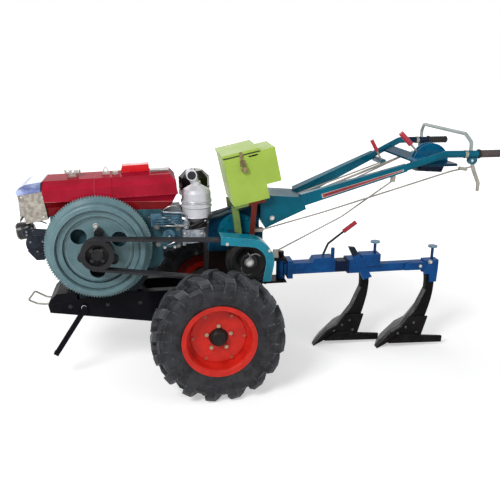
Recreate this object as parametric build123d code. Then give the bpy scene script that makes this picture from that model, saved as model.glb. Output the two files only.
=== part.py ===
from build123d import *
from math import atan2, cos, degrees, hypot, pi, radians, sin
import os

# Two-wheel walking tractor with a two-furrow plough.
# Millimetres. Forward is +X, the left side is +Y, up is +Z, and the ground is Z = 0.
# Pieces are drawn with X measured from the wheel axle and moved by AXLE_X when written.
AXLE_X = 234.0
AXLE_Z = 320.0

# Clearances that several pieces share
SEAT = 0.3
RUN = 0.05
SWEEP = 6.0

# Wheels
TRACK = 780.0
TYRE_R = 320.0
TYRE_WIDTH = 165.0
TYRE_INNER_Y = TRACK / 2 - TYRE_WIDTH / 2
LUG_HEIGHT = 26.0
LUGS_A_SIDE = 16
RIM_SEAT_R = 154.0
RIM_FLANGE_R = RIM_SEAT_R + 24.0
RIM_WELL_R = RIM_SEAT_R - 22.0
RIM_SHEET = 5.0
DISC_FACE = 6.0
HUB_R = 38.0
HUB_FLANGE_R = 78.0
AXLE_R = 24.0
AXLE_TUBE_R = 52.0
AXLE_TUBE_END = TRACK / 2 - 128.0

# Frame rails
RAIL_OUTER_Y = 120.0
RAIL_SHEET = 7.0
RAIL_FLANGE = 44.0
RAIL_FRONT_TOP = (806, 421)
RAIL_FRONT_BOTTOM = (799, 378)
RAIL_KNEE = (456, 462)
RAIL_REAR_X = 112.0
RAIL_BOTTOM_SLOPE = 0.1615

# Front stand
STAND_PIVOT = (632, 393)
STAND_TIP = (791, 155)
STAND_WIDTH = 26.0
STAND_THICK = 11.0
STAND_PIN_R = 9.0

# Belt drive, set inboard of the left tyre
GUARD_R = 117.0
GUARD_SHEET = 4.0
GUARD_LIP = 40.0
GUARD_FACE_Y = TYRE_INNER_Y - 9.5
GUARD_BACK_Y = GUARD_FACE_Y - 84.0
CRANK_PULLEY_R = 76.0
CLUTCH_PULLEY_R = 108.0
CLUTCH_X, CLUTCH_Z = -165.0, 642.0
BELT_COUNT = 3
BELT_PITCH = 18.5
BELT_WIDTH = 13.0
BELT_DEPTH = 10.5
BELT_MID_Y = GUARD_FACE_Y - 41.0
BELT_PROUD = 1.5

# Flywheel, inboard of the belts
CRANK_X, CRANK_Z = 540.0, 712.0
FLYWHEEL_R = 222.0
FLYWHEEL_FRONT_Y = BELT_MID_Y - 36.0
FLYWHEEL_BACK_Y = FLYWHEEL_FRONT_Y - 87.0
GEAR_R = 253.0
GEAR_TEETH = 120
GEAR_FRONT_Y = FLYWHEEL_BACK_Y + 26.0

# Engine
ENGINE_LEFT_Y = FLYWHEEL_BACK_Y - 14.0
ENGINE_RIGHT_Y = -190.0
ENGINE_WALL = 5.5
HOOD_MID_Y = -20.0
HOOD_HALF = 144.0
HOOD_SHEET = 2.0
SEAM_FRONT = (770, 935)
SEAM_REAR = (157, 958)
MUFFLER_X, MUFFLER_Y, MUFFLER_R = 62.0, 52.0, 74.0
SPOUT_X, SPOUT_Z = MUFFLER_X + 22.0, 1034.0

# Gearbox
CASE_WALL = 12.0
CASE_HALF = 96.0
CASE_TOP_HALF = 68.0
CASE_REAR_X = -266.0
WIDE_LEFT_Y = FLYWHEEL_BACK_Y + 16.0
SHAFT_R = 16.0

# Handles
SPREAD = 560.0
GRIP_R = 18.5
TUBE_R = 17.0
GRIP_START_X = -1288.0
GRIP_END_X = -1405.0
BASE_HALF = 108.0
BASE_FRONT_X = -252.0
BASE_REAR_LOW = (-486, 850)
BASE_REAR_TOP = (-462, 912)
GUIDE_Y = (96.0, 128.0)
LEVER_HALF = 5.0

# Tool box: leans forward by BOX_LEAN, its near lower front corner at BOX_CORNER
BOX_CORNER = (-113, 885)
BOX_LEAN = 12.3
BOX_LENGTH = 182.0
BOX_HEIGHT = 238.0
BOX_HALF = 150.0
BOX_SHEET = 2.0
LID_HEIGHT = 14.0
LID_OVER = 3.0
SIDE_BOX_LENGTH = 74.0
SIDE_BOX_LOW, SIDE_BOX_HIGH = 70.0, BOX_HEIGHT
SIDE_BOX_HALF = 112.0

# Plough
HITCH_X = -382.0
HITCH_PIN_R = 11.0
HITCH_SLEEVE_R = 24.0
BEAM_FRONT = 60.0
BEAM_REAR = 44.0
BEAM_FRONT_Z = 507.0
BEAM_REAR_Z = 484.0
BEAM_STEP_X = -815.0
BEAM_END_X = -1272.0
BODY_TIPS = ((-595, -88), (-943, 2))
SHANK_THICK = 28.0
BOARD_THICK = 10.0
BOARD_LINE = ((0, 0), (-82, 90), (-140, 122), (-215, 228), (-262, 340))


def plate(points, y_low, y_high):
    """Side outline of (x, z) corners, made solid across the machine."""
    face = Plane.XZ * make_face(Polyline(*points, close=True))
    return Pos(0, y_low, 0) * extrude(face, -(y_high - y_low))


def inset_plate(points, inset, y_low, y_high):
    """The same outline drawn in by an even margin."""
    face = Plane.XZ * offset(make_face(Polyline(*points, close=True)), -inset, kind=Kind.INTERSECTION)
    return Pos(0, y_low, 0) * extrude(face, -(y_high - y_low))


def across(x, z, radius, y_low, y_high):
    """Round bar that lies across the machine."""
    bar = Cylinder(radius, y_high - y_low, align=(Align.CENTER, Align.CENTER, Align.MIN))
    return Pos(x, y_low, z) * Rot(-90, 0, 0) * bar


def upright(x, y, radius, z_low, z_high):
    """Round bar that stands."""
    bar = Cylinder(radius, z_high - z_low, align=(Align.CENTER, Align.CENTER, Align.MIN))
    return Pos(x, y, z_low) * bar


def block(x_low, x_high, y_low, y_high, z_low, z_high):
    """Box between two corners."""
    size = (x_high - x_low, y_high - y_low, z_high - z_low)
    return Pos(x_low, y_low, z_low) * Box(*size, align=(Align.MIN, Align.MIN, Align.MIN))


def turned(profile, x, z):
    """Closed profile of (radius, y) spun round an axis across the machine."""
    face = make_face(Polyline(*profile, close=True))
    return Pos(x, 0, z) * revolve(face, Axis.Y)


def spun(profile, x, y):
    """Closed profile of (radius, z) spun round a standing axis."""
    face = Plane.XZ * make_face(Polyline(*profile, close=True))
    return Pos(x, y, 0) * revolve(face, Axis.Z)


def rod(points, radius, bend=0.0):
    """Round bar along corners, with its bends rounded."""
    path = FilletPolyline(*points, radius=bend) if len(points) > 2 else Line(*points)
    return sweep(Plane(origin=path @ 0, z_dir=path % 0) * Circle(radius), path)


def ring_of(count, radius, first=0.0):
    """Places on a circle seen from the side, as (x, z) steps from its centre."""
    turn = 2 * pi / count
    return [(radius * cos(first + i * turn), radius * sin(first + i * turn)) for i in range(count)]


def mirrored(shape):
    """The same piece on the other side of the machine."""
    return mirror(shape, about=Plane.XZ)


def joined(pieces):
    """One node from several pieces."""
    whole = pieces[0]
    for piece in pieces[1:]:
        whole = whole + piece
    return whole


def common(shape, keep):
    """What two solids share, as one piece."""
    got = shape & keep
    return joined(list(got)) if isinstance(got, list) else got


# Wheels, drawn on the left side at Y = TRACK / 2


def tyre_lug(first_angle, side):
    """One bar of the tread, from the crown to where it ends low on the shoulder."""
    mid = TRACK / 2
    stations = (
        (-6, TYRE_R - 36, TYRE_R, 4.2, 3.0, 0.0),
        (34, TYRE_R - 38, TYRE_R - 1, 4.6, 3.4, 4.6),
        (66, TYRE_R - 54, TYRE_R - 7, 5.2, 4.2, 9.2),
        (82, TYRE_R - 94, TYRE_R - 34, 5.8, 5.0, 11.0),
    )
    sections = []
    for out, low, high, foot, crest, lag in stations:
        corners = []
        for radius, half in ((low, -foot), (low, foot), (high, crest), (high, -crest)):
            angle = radians(first_angle - lag + half)
            corners.append((sin(angle) * radius, mid + side * out, AXLE_Z + cos(angle) * radius))
        sections.append(make_face(Polyline(*corners, close=True)))
    return loft(sections, ruled=True)


def tyre():
    """Carcass with its open inside, and the bars fused to it."""
    mid = TRACK / 2
    half = TYRE_WIDTH / 2
    crown = TYRE_R - LUG_HEIGHT
    outer = [
        (RIM_SEAT_R + SEAT, 59),
        (RIM_SEAT_R + 8 + SEAT, 65),
        (RIM_FLANGE_R - 6, 67.5),
        (RIM_FLANGE_R + 22, half - 6),
        (RIM_FLANGE_R + 58, half - 1),
        (crown - 28, half - 4),
        (crown - 14, half - 16),
        (crown - 2, half - 48),
    ]
    inner = [
        (crown - 18, 30),
        (crown - 32, 58),
        (RIM_FLANGE_R + 58, 66),
        (RIM_FLANGE_R + 22, 62),
        (RIM_SEAT_R + 22, 46),
        (RIM_SEAT_R + SEAT, 40),
    ]
    profile = [(r, mid + y) for r, y in outer]
    profile += [(r, mid - y) for r, y in reversed(outer)]
    profile += [(r, mid - y) for r, y in reversed(inner)]
    profile += [(r, mid + y) for r, y in inner]
    whole = turned(profile, 0, AXLE_Z)
    pitch = 360.0 / LUGS_A_SIDE
    lugs = []
    for i in range(LUGS_A_SIDE):
        lugs.append(tyre_lug(i * pitch, 1))
        lugs.append(tyre_lug((i + 0.5) * pitch, -1))
    return whole.fuse(*lugs)


def rim():
    """Flanged barrel with its well inboard, and the flat disc set deep in it, bored for the hub."""
    mid = TRACK / 2
    t = RIM_SHEET
    barrel = [
        (RIM_FLANGE_R, 75),
        (RIM_FLANGE_R, 70),
        (RIM_SEAT_R + 8, 66),
        (RIM_SEAT_R, 60),
        (RIM_SEAT_R, 2),
        (RIM_WELL_R, -10),
        (RIM_WELL_R, -28),
        (RIM_SEAT_R, -39),
        (RIM_SEAT_R, -60),
        (RIM_SEAT_R + 8, -66),
        (RIM_FLANGE_R, -70),
        (RIM_FLANGE_R, -75),
        (RIM_SEAT_R + 2, -73),
        (RIM_SEAT_R - t, -63),
        (RIM_SEAT_R - t, -42),
        (RIM_WELL_R - t, -31),
        (RIM_WELL_R - t, -7),
        (RIM_SEAT_R - t, 5),
        (RIM_SEAT_R - t, 63),
        (RIM_SEAT_R + 2, 73),
    ]
    disc = [
        (RIM_SEAT_R - t / 2, DISC_FACE + t),
        (RIM_SEAT_R - 18, DISC_FACE + t),
        (RIM_SEAT_R - 24, DISC_FACE + t + 3),
        (HUB_R + 8, DISC_FACE + t + 3),
        (HUB_R + 8, DISC_FACE),
        (RIM_SEAT_R - t / 2, DISC_FACE),
    ]
    whole = turned([(r, mid + y) for r, y in barrel], 0, AXLE_Z)
    return whole + turned([(r, mid + y) for r, y in disc], 0, AXLE_Z)


def wheel_hub():
    """Hub that carries the wheel's disc, with its cap and five nuts."""
    mid = TRACK / 2
    face = mid + DISC_FACE
    inner = AXLE_TUBE_END + SWEEP
    sheet = RIM_SHEET + 3
    profile = [
        (0, inner),
        (HUB_R + 6, inner),
        (HUB_R, inner + 14),
        (HUB_R, face - 12 - SEAT),
        (HUB_FLANGE_R, face - 12 - SEAT),
        (HUB_FLANGE_R, face - SEAT),
        (HUB_R + 7, face - SEAT),
        (HUB_R + 7, face + sheet + 2),
        (HUB_R, face + 30),
        (HUB_R - 8, face + 38),
        (0, face + 38),
    ]
    whole = turned(profile, 0, AXLE_Z)
    for x, z in ring_of(5, 60.0, pi / 2):
        whole = whole + across(x, AXLE_Z + z, 9, face + sheet, face + sheet + 12)
    return whole - across(0, AXLE_Z, AXLE_R + RUN, inner - 1, AXLE_TUBE_END + 61)


# Chassis


def rail_bottom(x):
    """Height of the rails' lower edge."""
    return RAIL_FRONT_BOTTOM[1] - (RAIL_FRONT_BOTTOM[0] - x) * RAIL_BOTTOM_SLOPE


def rail_top(x):
    """Height of the rails' upper edge."""
    if x <= RAIL_KNEE[0]:
        return RAIL_KNEE[1]
    rise = (RAIL_FRONT_TOP[1] - RAIL_KNEE[1]) / (RAIL_FRONT_TOP[0] - RAIL_KNEE[0])
    return RAIL_KNEE[1] + (x - RAIL_KNEE[0]) * rise


def chassis_frame():
    """Two tapered channels, open inwards, with cross members."""
    outline = [
        RAIL_FRONT_TOP,
        RAIL_FRONT_BOTTOM,
        (RAIL_REAR_X, rail_bottom(RAIL_REAR_X)),
        (RAIL_REAR_X, RAIL_KNEE[1]),
        RAIL_KNEE,
    ]
    inner_y = RAIL_OUTER_Y - RAIL_FLANGE
    rail = plate(outline, inner_y, RAIL_OUTER_Y)
    rail = rail - inset_plate(outline, RAIL_SHEET, inner_y - 1, RAIL_OUTER_Y - RAIL_SHEET)
    front = plate(
        [RAIL_FRONT_TOP, RAIL_FRONT_BOTTOM, (787, rail_bottom(787)), (794, rail_top(794))],
        -inner_y - 1,
        inner_y + 1,
    )
    for y in (-60, 60):
        front = front - Pos(800, y, 400) * Rot(0, 90, 0) * Cylinder(6.6, 60)
    middle = block(560, 610, -inner_y - 1, inner_y + 1, rail_bottom(560) + 2, rail_bottom(560) + 9)
    rear = block(RAIL_REAR_X, RAIL_REAR_X + 10, -inner_y - 1, inner_y + 1, 300, RAIL_KNEE[1] - 8)
    return joined([rail, mirrored(rail), front, middle, rear])


def stand_pin():
    """Pin through the left rail that the front stand hangs on, with its cotter ring boss."""
    x, z = STAND_PIVOT
    out = RAIL_OUTER_Y + SWEEP + STAND_THICK
    pin = across(x, z, STAND_PIN_R, RAIL_OUTER_Y, out + SWEEP)
    return pin + across(x, z, STAND_PIN_R + 7, out + SWEEP, out + SWEEP + 6) + across(
        x, z, STAND_PIN_R + 9, RAIL_OUTER_Y, RAIL_OUTER_Y + SWEEP - SEAT
    )


def front_stand():
    """Flat leg with a round eye and a small foot."""
    x, z = STAND_PIVOT
    dx, dz = STAND_TIP[0] - x, STAND_TIP[1] - z
    length = hypot(dx, dz)
    lean = degrees(atan2(dx, -dz))
    leg = block(-STAND_WIDTH / 2, STAND_WIDTH / 2, 0, STAND_THICK, -length, 0)
    leg = leg + across(0, 0, STAND_WIDTH / 2 + 4, 0, STAND_THICK)
    leg = leg + block(-STAND_WIDTH / 2, STAND_WIDTH / 2, -22, STAND_THICK, -length, -length + 8)
    leg = leg - across(0, 0, STAND_PIN_R + RUN, -1, STAND_THICK + 1)
    return Pos(x, RAIL_OUTER_Y + SWEEP, z) * Rot(0, -lean, 0) * leg


def front_bracket():
    """Raised bumper bracket on the rails' front end."""
    low = RAIL_FRONT_TOP[0] - 6
    outline = [
        (low, rail_top(low) + SEAT),
        (low - 4, rail_top(low) + 20),
        (762, 474),
        (666, 480),
        (666, rail_top(666) + SEAT),
    ]
    whole = plate(outline, -RAIL_OUTER_Y, RAIL_OUTER_Y)
    return whole - plate(
        [(low - 12, 400), (low - 12, rail_top(low) + 10), (758, 464), (676, 470), (676, 400)],
        -RAIL_OUTER_Y + 10,
        RAIL_OUTER_Y - 10,
    )


def front_loop():
    """Towing loop bent from round bar."""
    corners = (
        (806.9, 416),
        (830, 420),
        (884, 453),
        (920, 407),
        (878, 385),
        (838, 379),
        (800.9, 386),
    )
    return rod([(x, 0, z) for x, z in corners], 4.5, 7)


def hood_floor(x):
    """Height of the tank's underside."""
    if x >= 336:
        return 880 - (x - 336) * 18 / 430
    return 878 + (x - 207) * 2 / 129


# Engine


def engine_block():
    """Crankcase as one plain casting, with its sump between the rails and its end cover."""
    t = ENGINE_WALL
    right = ENGINE_RIGHT_Y + 40
    left = ENGINE_LEFT_Y - 8
    outline = [
        (654, rail_top(654) + SEAT),
        (654, 490),
        (738, 522),
        (762, 640),
        (758, hood_floor(758) - SEAT),
        (336, hood_floor(336) - SEAT),
        (236, hood_floor(236) - SEAT),
        (236, 620),
        (330, 520),
        (380, RAIL_KNEE[1] + SEAT),
        (RAIL_KNEE[0], RAIL_KNEE[1] + SEAT),
    ]
    cover_line = [(700, 526), (738, 640), (730, 800), (400, 815), (330, 740), (330, 560), (420, 486)]
    half = RAIL_OUTER_Y - RAIL_FLANGE - 6
    sump_line = [
        (640, rail_bottom(640) + 12),
        (646, 470),
        (400, 480),
        (330, RAIL_KNEE[1] - 40),
        (330, rail_bottom(330) + 30),
    ]
    notch = rail_bottom(560) + 16
    whole = plate(outline, right, left) + plate(cover_line, ENGINE_RIGHT_Y, right + 1)
    whole = whole + across(CRANK_X - 60, CRANK_Z - 60, 34, ENGINE_RIGHT_Y - 22, ENGINE_RIGHT_Y + 1)
    whole = whole + across(CRANK_X, CRANK_Z, 96, left - 1, ENGINE_LEFT_Y)
    whole = whole + (plate(sump_line, -half, half) - block(540, 630, -90, 90, 300, notch))
    whole = whole - (inset_plate(outline, t, right + t, left - t) - across(CRANK_X, CRANK_Z, 60, 40, 130))
    whole = whole - inset_plate(cover_line, t, ENGINE_RIGHT_Y + t, right - SEAT)
    hollow = plate([(632, 395), (632, 425), (390, 440), (338, 414), (338, rail_bottom(338) + 40)], t - half, half - t)
    whole = whole - (hollow - block(530, 640, -90, 90, 300, notch + t))
    return whole - across(CRANK_X, CRANK_Z, 30 + RUN, ENGINE_LEFT_Y - 60, ENGINE_LEFT_Y + 1)


def cylinder_head():
    """Head with its cooling jacket ribs."""
    outline = [(236 - SEAT, 856), (138, 858), (138, 690), (236 - SEAT, 660)]
    left = ENGINE_LEFT_Y - 8
    whole = plate(outline, -125, left) - inset_plate(outline, 9, -116, left - 9)
    for z in (704, 738, 800, 836):
        whole = whole + block(150, 224, left - 1, left + 8, z, z + 12)
    return whole


def rocker_cover():
    """Rounded silver cover on the head's rear face."""
    left = ENGINE_LEFT_Y - 8
    outline = [(138 - SEAT, 698), (62, 702), (34, 716), (24, 740), (34, 760), (66, 768), (138 - SEAT, 769)]
    whole = plate(outline, -92, left) - inset_plate(outline, 10, -82, left - 10)
    return whole + plate([(138 - SEAT, 692), (124, 692), (124, 774), (138 - SEAT, 774)], -102, left + 6)


def exhaust_manifold():
    """Dark flanged duct that carries the silencer."""
    x, y = MUFFLER_X, MUFFLER_Y
    disc = spun([(0, 774), (52, 774), (52, 784), (40, 790), (36, 800), (0, 800)], x, y)
    return disc + plate([(x, 776), (138 - SEAT, 776), (138 - SEAT, 799), (x, 799)], y - 34, y + 34)


def muffler():
    """Standing silencer can with a rolled bead, domed top and a bent neck to its side outlet."""
    r = MUFFLER_R
    profile = [
        (0, 800 + SEAT),
        (40, 800 + SEAT),
        (r - 22, 812),
        (r - 2, 830),
        (r - 2, 872),
        (r + 3, 876),
        (r + 3, 882),
        (r - 2, 886),
        (r - 2, 946),
        (r - 12, 962),
        (38, 976),
        (24, 984),
        (22, 1000),
        (0, 1000),
    ]
    inside = [(0, 806), (36, 806), (r - 25, 817), (r - 6, 834), (r - 6, 944), (r - 15, 958), (30, 970), (0, 970)]
    can = spun(profile, MUFFLER_X, MUFFLER_Y) - spun(inside, MUFFLER_X, MUFFLER_Y)
    neck = rod([(MUFFLER_X + 2, MUFFLER_Y, 988), (SPOUT_X, MUFFLER_Y, SPOUT_Z)], 21)
    spout = across(SPOUT_X, SPOUT_Z, 26, MUFFLER_Y - 30, MUFFLER_Y + 38)
    return joined([can, neck, spout]) - across(SPOUT_X, SPOUT_Z, 21, MUFFLER_Y - 16, MUFFLER_Y + 39)


def air_filter():
    """Eight-sided black air cleaner with a stepped top, on its intake elbow."""
    x, y = MUFFLER_X - 4, -122
    body = Pos(x, y, 900) * extrude(RegularPolygon(80, 10), 94)
    top = Pos(x, y, 993) * loft([RegularPolygon(78, 10), Pos(0, 0, 34) * RegularPolygon(44, 10)])
    neck = upright(x, y, 36, 846, 901)
    elbow = rod([(x, y, 880), (x, y, 822), (138 - SEAT, y, 822)], 22, 30)
    return joined([body, top, neck, elbow])


def fuel_pump():
    """Pump housing with its inspection plate, behind the flywheel."""
    return plate([(290, 866), (238, 864), (224, 809), (262, 800), (288, 806)], ENGINE_LEFT_Y - 8 + SEAT, 152)


def radiator():
    """Radiator core with side walls and a slatted front."""
    outline = [(893, 968), (783, 985), (765, 851), (866, 833)]
    half = HOOD_HALF - 2
    whole = plate(outline, HOOD_MID_Y - half, HOOD_MID_Y + half)
    whole = whole - inset_plate(outline, 10, HOOD_MID_Y - half + 5, HOOD_MID_Y + half - 5)
    front = atan2(893 - 866, 968 - 833)
    for i in range(9):
        z = 846 + i * 13
        x = 866 + (z - 833) * (893 - 866) / (968 - 833)
        whole = whole - Pos(x, HOOD_MID_Y, z) * Rot(0, degrees(front), 0) * Box(10, 254, 7)
    return whole


def nose_cover():
    """Bright cap over the radiator, its front edge rolled down, open below."""
    outline = [
        (783, 985 + SEAT),
        (893, 968 + SEAT),
        (899, 986),
        (886, 1002),
        (856, 1016),
        (800, 1023),
        (783, 1024),
    ]
    inside = [(789, 940), (886, 940), (890, 984), (880, 995), (852, 1008), (800, 1014), (789, 1015)]
    whole = common(plate(outline, -250, 250), crowned(780, 900, HOOD_HALF, 960, 1030))
    return whole - plate(inside, HOOD_MID_Y - 116, HOOD_MID_Y + 116)


def crowned(x_low, x_high, half, z_low, z_high):
    """Cross-section with sloping shoulders, drawn along the machine."""
    corners = [
        (-half, z_low),
        (half, z_low),
        (half, z_high - 34),
        (half - 14, z_high - 16),
        (half - 46, z_high),
        (-half + 46, z_high),
        (-half + 14, z_high - 16),
        (-half, z_high - 34),
    ]
    face = Plane.YZ * make_face(Polyline(*corners, close=True))
    return Pos(x_low, HOOD_MID_Y, 0) * extrude(face, x_high - x_low)


def hood_form(inset):
    """Tank body: side outline cut by a shouldered cross-section that climbs to the rear."""
    front = 783 - SEAT - inset
    outline = [
        (front, 1060),
        (front, 985),
        (front - 16.5, 862 + inset),
        (336, 880 + inset),
        (207, 878 + inset),
        (186 + inset, 900),
        (157 + inset, 958),
        (160 + inset, 1010),
        (184 + inset, 1040),
        (200 + inset, 1060),
    ]
    low = HOOD_HALF - 22 - inset
    half = HOOD_HALF - inset
    top = 1026 - inset
    corners = [
        (-low, 840),
        (low, 840),
        (low + 4, 905),
        (half, 938),
        (half, top - 36),
        (half - 16, top - 17),
        (half - 50, top),
        (-half + 50, top),
        (-half + 16, top - 17),
        (-half, top - 36),
        (-half, 938),
        (-low - 4, 905),
    ]
    section = Plane.YZ * make_face(Polyline(*corners, close=True))
    climb = Rot(0, 1.9, 0) * extrude(section, 700)
    return common(plate(outline, -half - 90, half + 90), Pos(120, HOOD_MID_Y, 19) * climb)


def hood():
    """Sheet tank with its seam flange."""
    shell = hood_form(0) - hood_form(HOOD_SHEET)
    seam = [
        SEAM_FRONT,
        (SEAM_FRONT[0], SEAM_FRONT[1] - 4),
        (SEAM_REAR[0] - 4, SEAM_REAR[1] - 4),
        (SEAM_REAR[0] - 4, SEAM_REAR[1]),
    ]
    out, inn = HOOD_HALF + 4, HOOD_HALF - 1
    flange = plate(seam, HOOD_MID_Y - out, HOOD_MID_Y + out)
    return shell + (flange - block(160, 900, HOOD_MID_Y - inn, HOOD_MID_Y + inn, 800, 1100))


def filler_cap():
    """Round cap on its neck."""
    profile = [(0, 1020), (27, 1020), (27, 1046), (35, 1048), (35, 1058), (26, 1064), (0, 1064)]
    return spun(profile, 652, HOOD_MID_Y + 10)


def hood_fittings():
    """Lifting eye, filler caps, rear plate and the raised housing, seated on the tank's top."""
    y = HOOD_MID_Y + 10
    eye = plate([(520, 1020), (506, 1062), (494, 1076), (484, 1062), (470, 1020)], y - 5, y + 5)
    eye = eye - across(494, 1056, 8, y - 6, y + 6)
    cap = spun([(0, 1024), (18, 1024), (18, 1050), (14, 1054), (0, 1054)], 448, y)
    rear = block(190, 282, -62, -4, 1030, 1050)
    housing = plate([(430, 1024), (418, 1068), (288, 1074), (284, 1030)], -112, -45)
    return joined([filler_cap(), eye, cap, rear, housing]) - hood_form(-SEAT)


def starter_motor():
    """Starter against the gear's front edge, with its mounting ear."""
    x, z = 822, 732
    left = ENGINE_LEFT_Y - 8 + SEAT
    body = across(x, z, 46, left - 66, left - 51)
    drum = across(x, z, 57, left - 52, left + 2)
    corners = [(870, 765), (870, 700), (835, 655), (800, 655), (746, 690), (746, 800), (832, 808)]
    return body + drum + plate(corners, left, FLYWHEEL_BACK_Y - SWEEP)


def ring_gear(y_low, y_high):
    """Toothed ring shrunk on the flywheel's back edge."""
    corners = []
    for i in range(GEAR_TEETH):
        for step, depth in ((-0.38, 6.5), (-0.15, 0), (0.15, 0), (0.38, 6.5)):
            angle = 2 * pi * (i + step) / GEAR_TEETH
            corners.append(((GEAR_R - depth) * cos(angle), (GEAR_R - depth) * sin(angle)))
    face = make_face(Polyline(*corners, close=True)) - Circle(GEAR_R - 18)
    return Pos(CRANK_X, y_low, CRANK_Z) * extrude(Plane.XZ * face, -(y_high - y_low))


def headlamp():
    """Round lamp with a rim, on a bracket from the radiator's foot."""
    profile = [(0, -46), (22, -46), (38, -20), (43, 10), (43, 30), (38, 36), (0, 36)]
    shell = revolve(Plane.XZ * make_face(Polyline(*profile, close=True)), Axis.Z)
    lamp = Pos(896, HOOD_MID_Y + 20, 772) * Rot(0, 98, 0) * shell
    stem = plate([(858, 834.4 - SEAT), (866, 833 - SEAT), (884, 800), (870, 796)], -16, 16)
    return lamp + stem


# Flywheel and belts


def flywheel():
    """Deep flywheel with two steps in its face, three round holes and the ring gear."""
    back, front = FLYWHEEL_BACK_Y, FLYWHEEL_FRONT_Y
    root = GEAR_R - 10
    profile = [
        (0, back),
        (56, back),
        (60, back + 31),
        (206, back + 31),
        (210, back + 7),
        (root, back + 7),
        (root, GEAR_FRONT_Y),
        (FLYWHEEL_R + 4, GEAR_FRONT_Y + 12),
        (FLYWHEEL_R, front - 4),
        (FLYWHEEL_R - 6, front),
        (198, front),
        (192, front - 22),
        (164, front - 24),
        (160, front - 44),
        (60, front - 44),
        (56, front - 30),
        (0, front - 30),
    ]
    whole = turned(profile, CRANK_X, CRANK_Z) + ring_gear(back + 8, GEAR_FRONT_Y - 1)
    for x, z in ring_of(3, 108.0, radians(-90 + 6)):
        whole = whole - across(CRANK_X + x, CRANK_Z + z, 38, back - 1, front)
    return whole + across(CRANK_X, CRANK_Z, 30, ENGINE_LEFT_Y - 50, back + 1)


def grooved(radius, inner, y_low, y_high, x, z):
    """V-groove pulley rim round an axis across the machine."""
    foot_r = radius + BELT_PROUD - BELT_DEPTH - SEAT
    profile = [(inner, y_low), (radius, y_low)]
    for i in range(BELT_COUNT):
        mid = BELT_MID_Y + (i - (BELT_COUNT - 1) / 2) * BELT_PITCH
        foot = BELT_WIDTH / 2 + SEAT
        profile += [(radius, mid - foot - 1.5), (foot_r, mid - foot), (foot_r, mid + foot), (radius, mid + foot + 1.5)]
    profile += [(radius, y_high), (inner, y_high)]
    return turned(profile, x, z)


def crank_pulley():
    """Pulley cup on a three-armed spider bolted to the flywheel."""
    low, high = BELT_MID_Y - 29, BELT_MID_Y + 29
    cup = grooved(CRANK_PULLEY_R, CRANK_PULLEY_R - 22, low, high, CRANK_X, CRANK_Z)
    web = across(CRANK_X, CRANK_Z, CRANK_PULLEY_R - 21, low, low + 16)
    hub = across(CRANK_X, CRANK_Z, 26, FLYWHEEL_FRONT_Y - 30 + SEAT, high - 16)
    spider = hub
    for x, z in ring_of(3, 84.0, radians(90 + 6)):
        arm = Pos(CRANK_X + x / 2, FLYWHEEL_FRONT_Y - 22, CRANK_Z + z / 2)
        spider = spider + arm * Rot(0, -degrees(atan2(z, x)), 0) * Box(84, 14, 44)
        spider = spider + across(CRANK_X + x, CRANK_Z + z, 22, FLYWHEEL_FRONT_Y - 44 + SEAT, FLYWHEEL_FRONT_Y - 15)
    return joined([cup, web, spider])


def clutch_pulley():
    """Larger driven pulley with a dished web and hub, on the gearbox's input shaft."""
    low, high = BELT_MID_Y - 29, BELT_MID_Y + 29
    rim_part = grooved(CLUTCH_PULLEY_R, CLUTCH_PULLEY_R - 22, low, high, CLUTCH_X, CLUTCH_Z)
    web = [
        (SHAFT_R + RUN, low + 6),
        (40, low + 6),
        (CLUTCH_PULLEY_R - 21, low + 16),
        (CLUTCH_PULLEY_R - 21, low + 28),
        (44, low + 18),
        (40, high - 8),
        (SHAFT_R + RUN, high - 8),
    ]
    return rim_part + turned(web, CLUTCH_X, CLUTCH_Z)


def belts():
    """Three V-belts as closed loops round both pulleys."""
    r1 = CRANK_PULLEY_R + BELT_PROUD
    r2 = CLUTCH_PULLEY_R + BELT_PROUD
    dx, dz = CLUTCH_X - CRANK_X, CLUTCH_Z - CRANK_Z
    span = hypot(dx, dz)
    along = atan2(dz, dx)
    tilt = atan2(r2 - r1, (span**2 - (r2 - r1) ** 2) ** 0.5)
    face = belt_loop(r1, r2, along, tilt) - belt_loop(r1 - BELT_DEPTH, r2 - BELT_DEPTH, along, tilt)
    loops = []
    for i in range(BELT_COUNT):
        mid = BELT_MID_Y + (i - (BELT_COUNT - 1) / 2) * BELT_PITCH
        loops.append(Pos(0, mid - BELT_WIDTH / 2, 0) * extrude(Plane.XZ * face, -BELT_WIDTH))
    return joined(loops)


def belt_loop(r1, r2, along, tilt):
    """Outline of a belt: two arcs joined by the two tangent runs."""
    ends = []
    for radius, x, z in ((r1, CRANK_X, CRANK_Z), (r2, CLUTCH_X, CLUTCH_Z)):
        top = along - pi / 2 - tilt
        low = along + pi / 2 + tilt
        ends.append((Vector(x + radius * cos(top), z + radius * sin(top)), Vector(x + radius * cos(low), z + radius * sin(low))))
    far_1 = Vector(CRANK_X - r1 * cos(along), CRANK_Z - r1 * sin(along))
    far_2 = Vector(CLUTCH_X + r2 * cos(along), CLUTCH_Z + r2 * sin(along))
    edges = [
        ThreePointArc(ends[0][0], far_1, ends[0][1]),
        Line(ends[0][1], ends[1][1]),
        ThreePointArc(ends[1][1], far_2, ends[1][0]),
        Line(ends[1][0], ends[0][0]),
    ]
    return make_face(edges)


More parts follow.
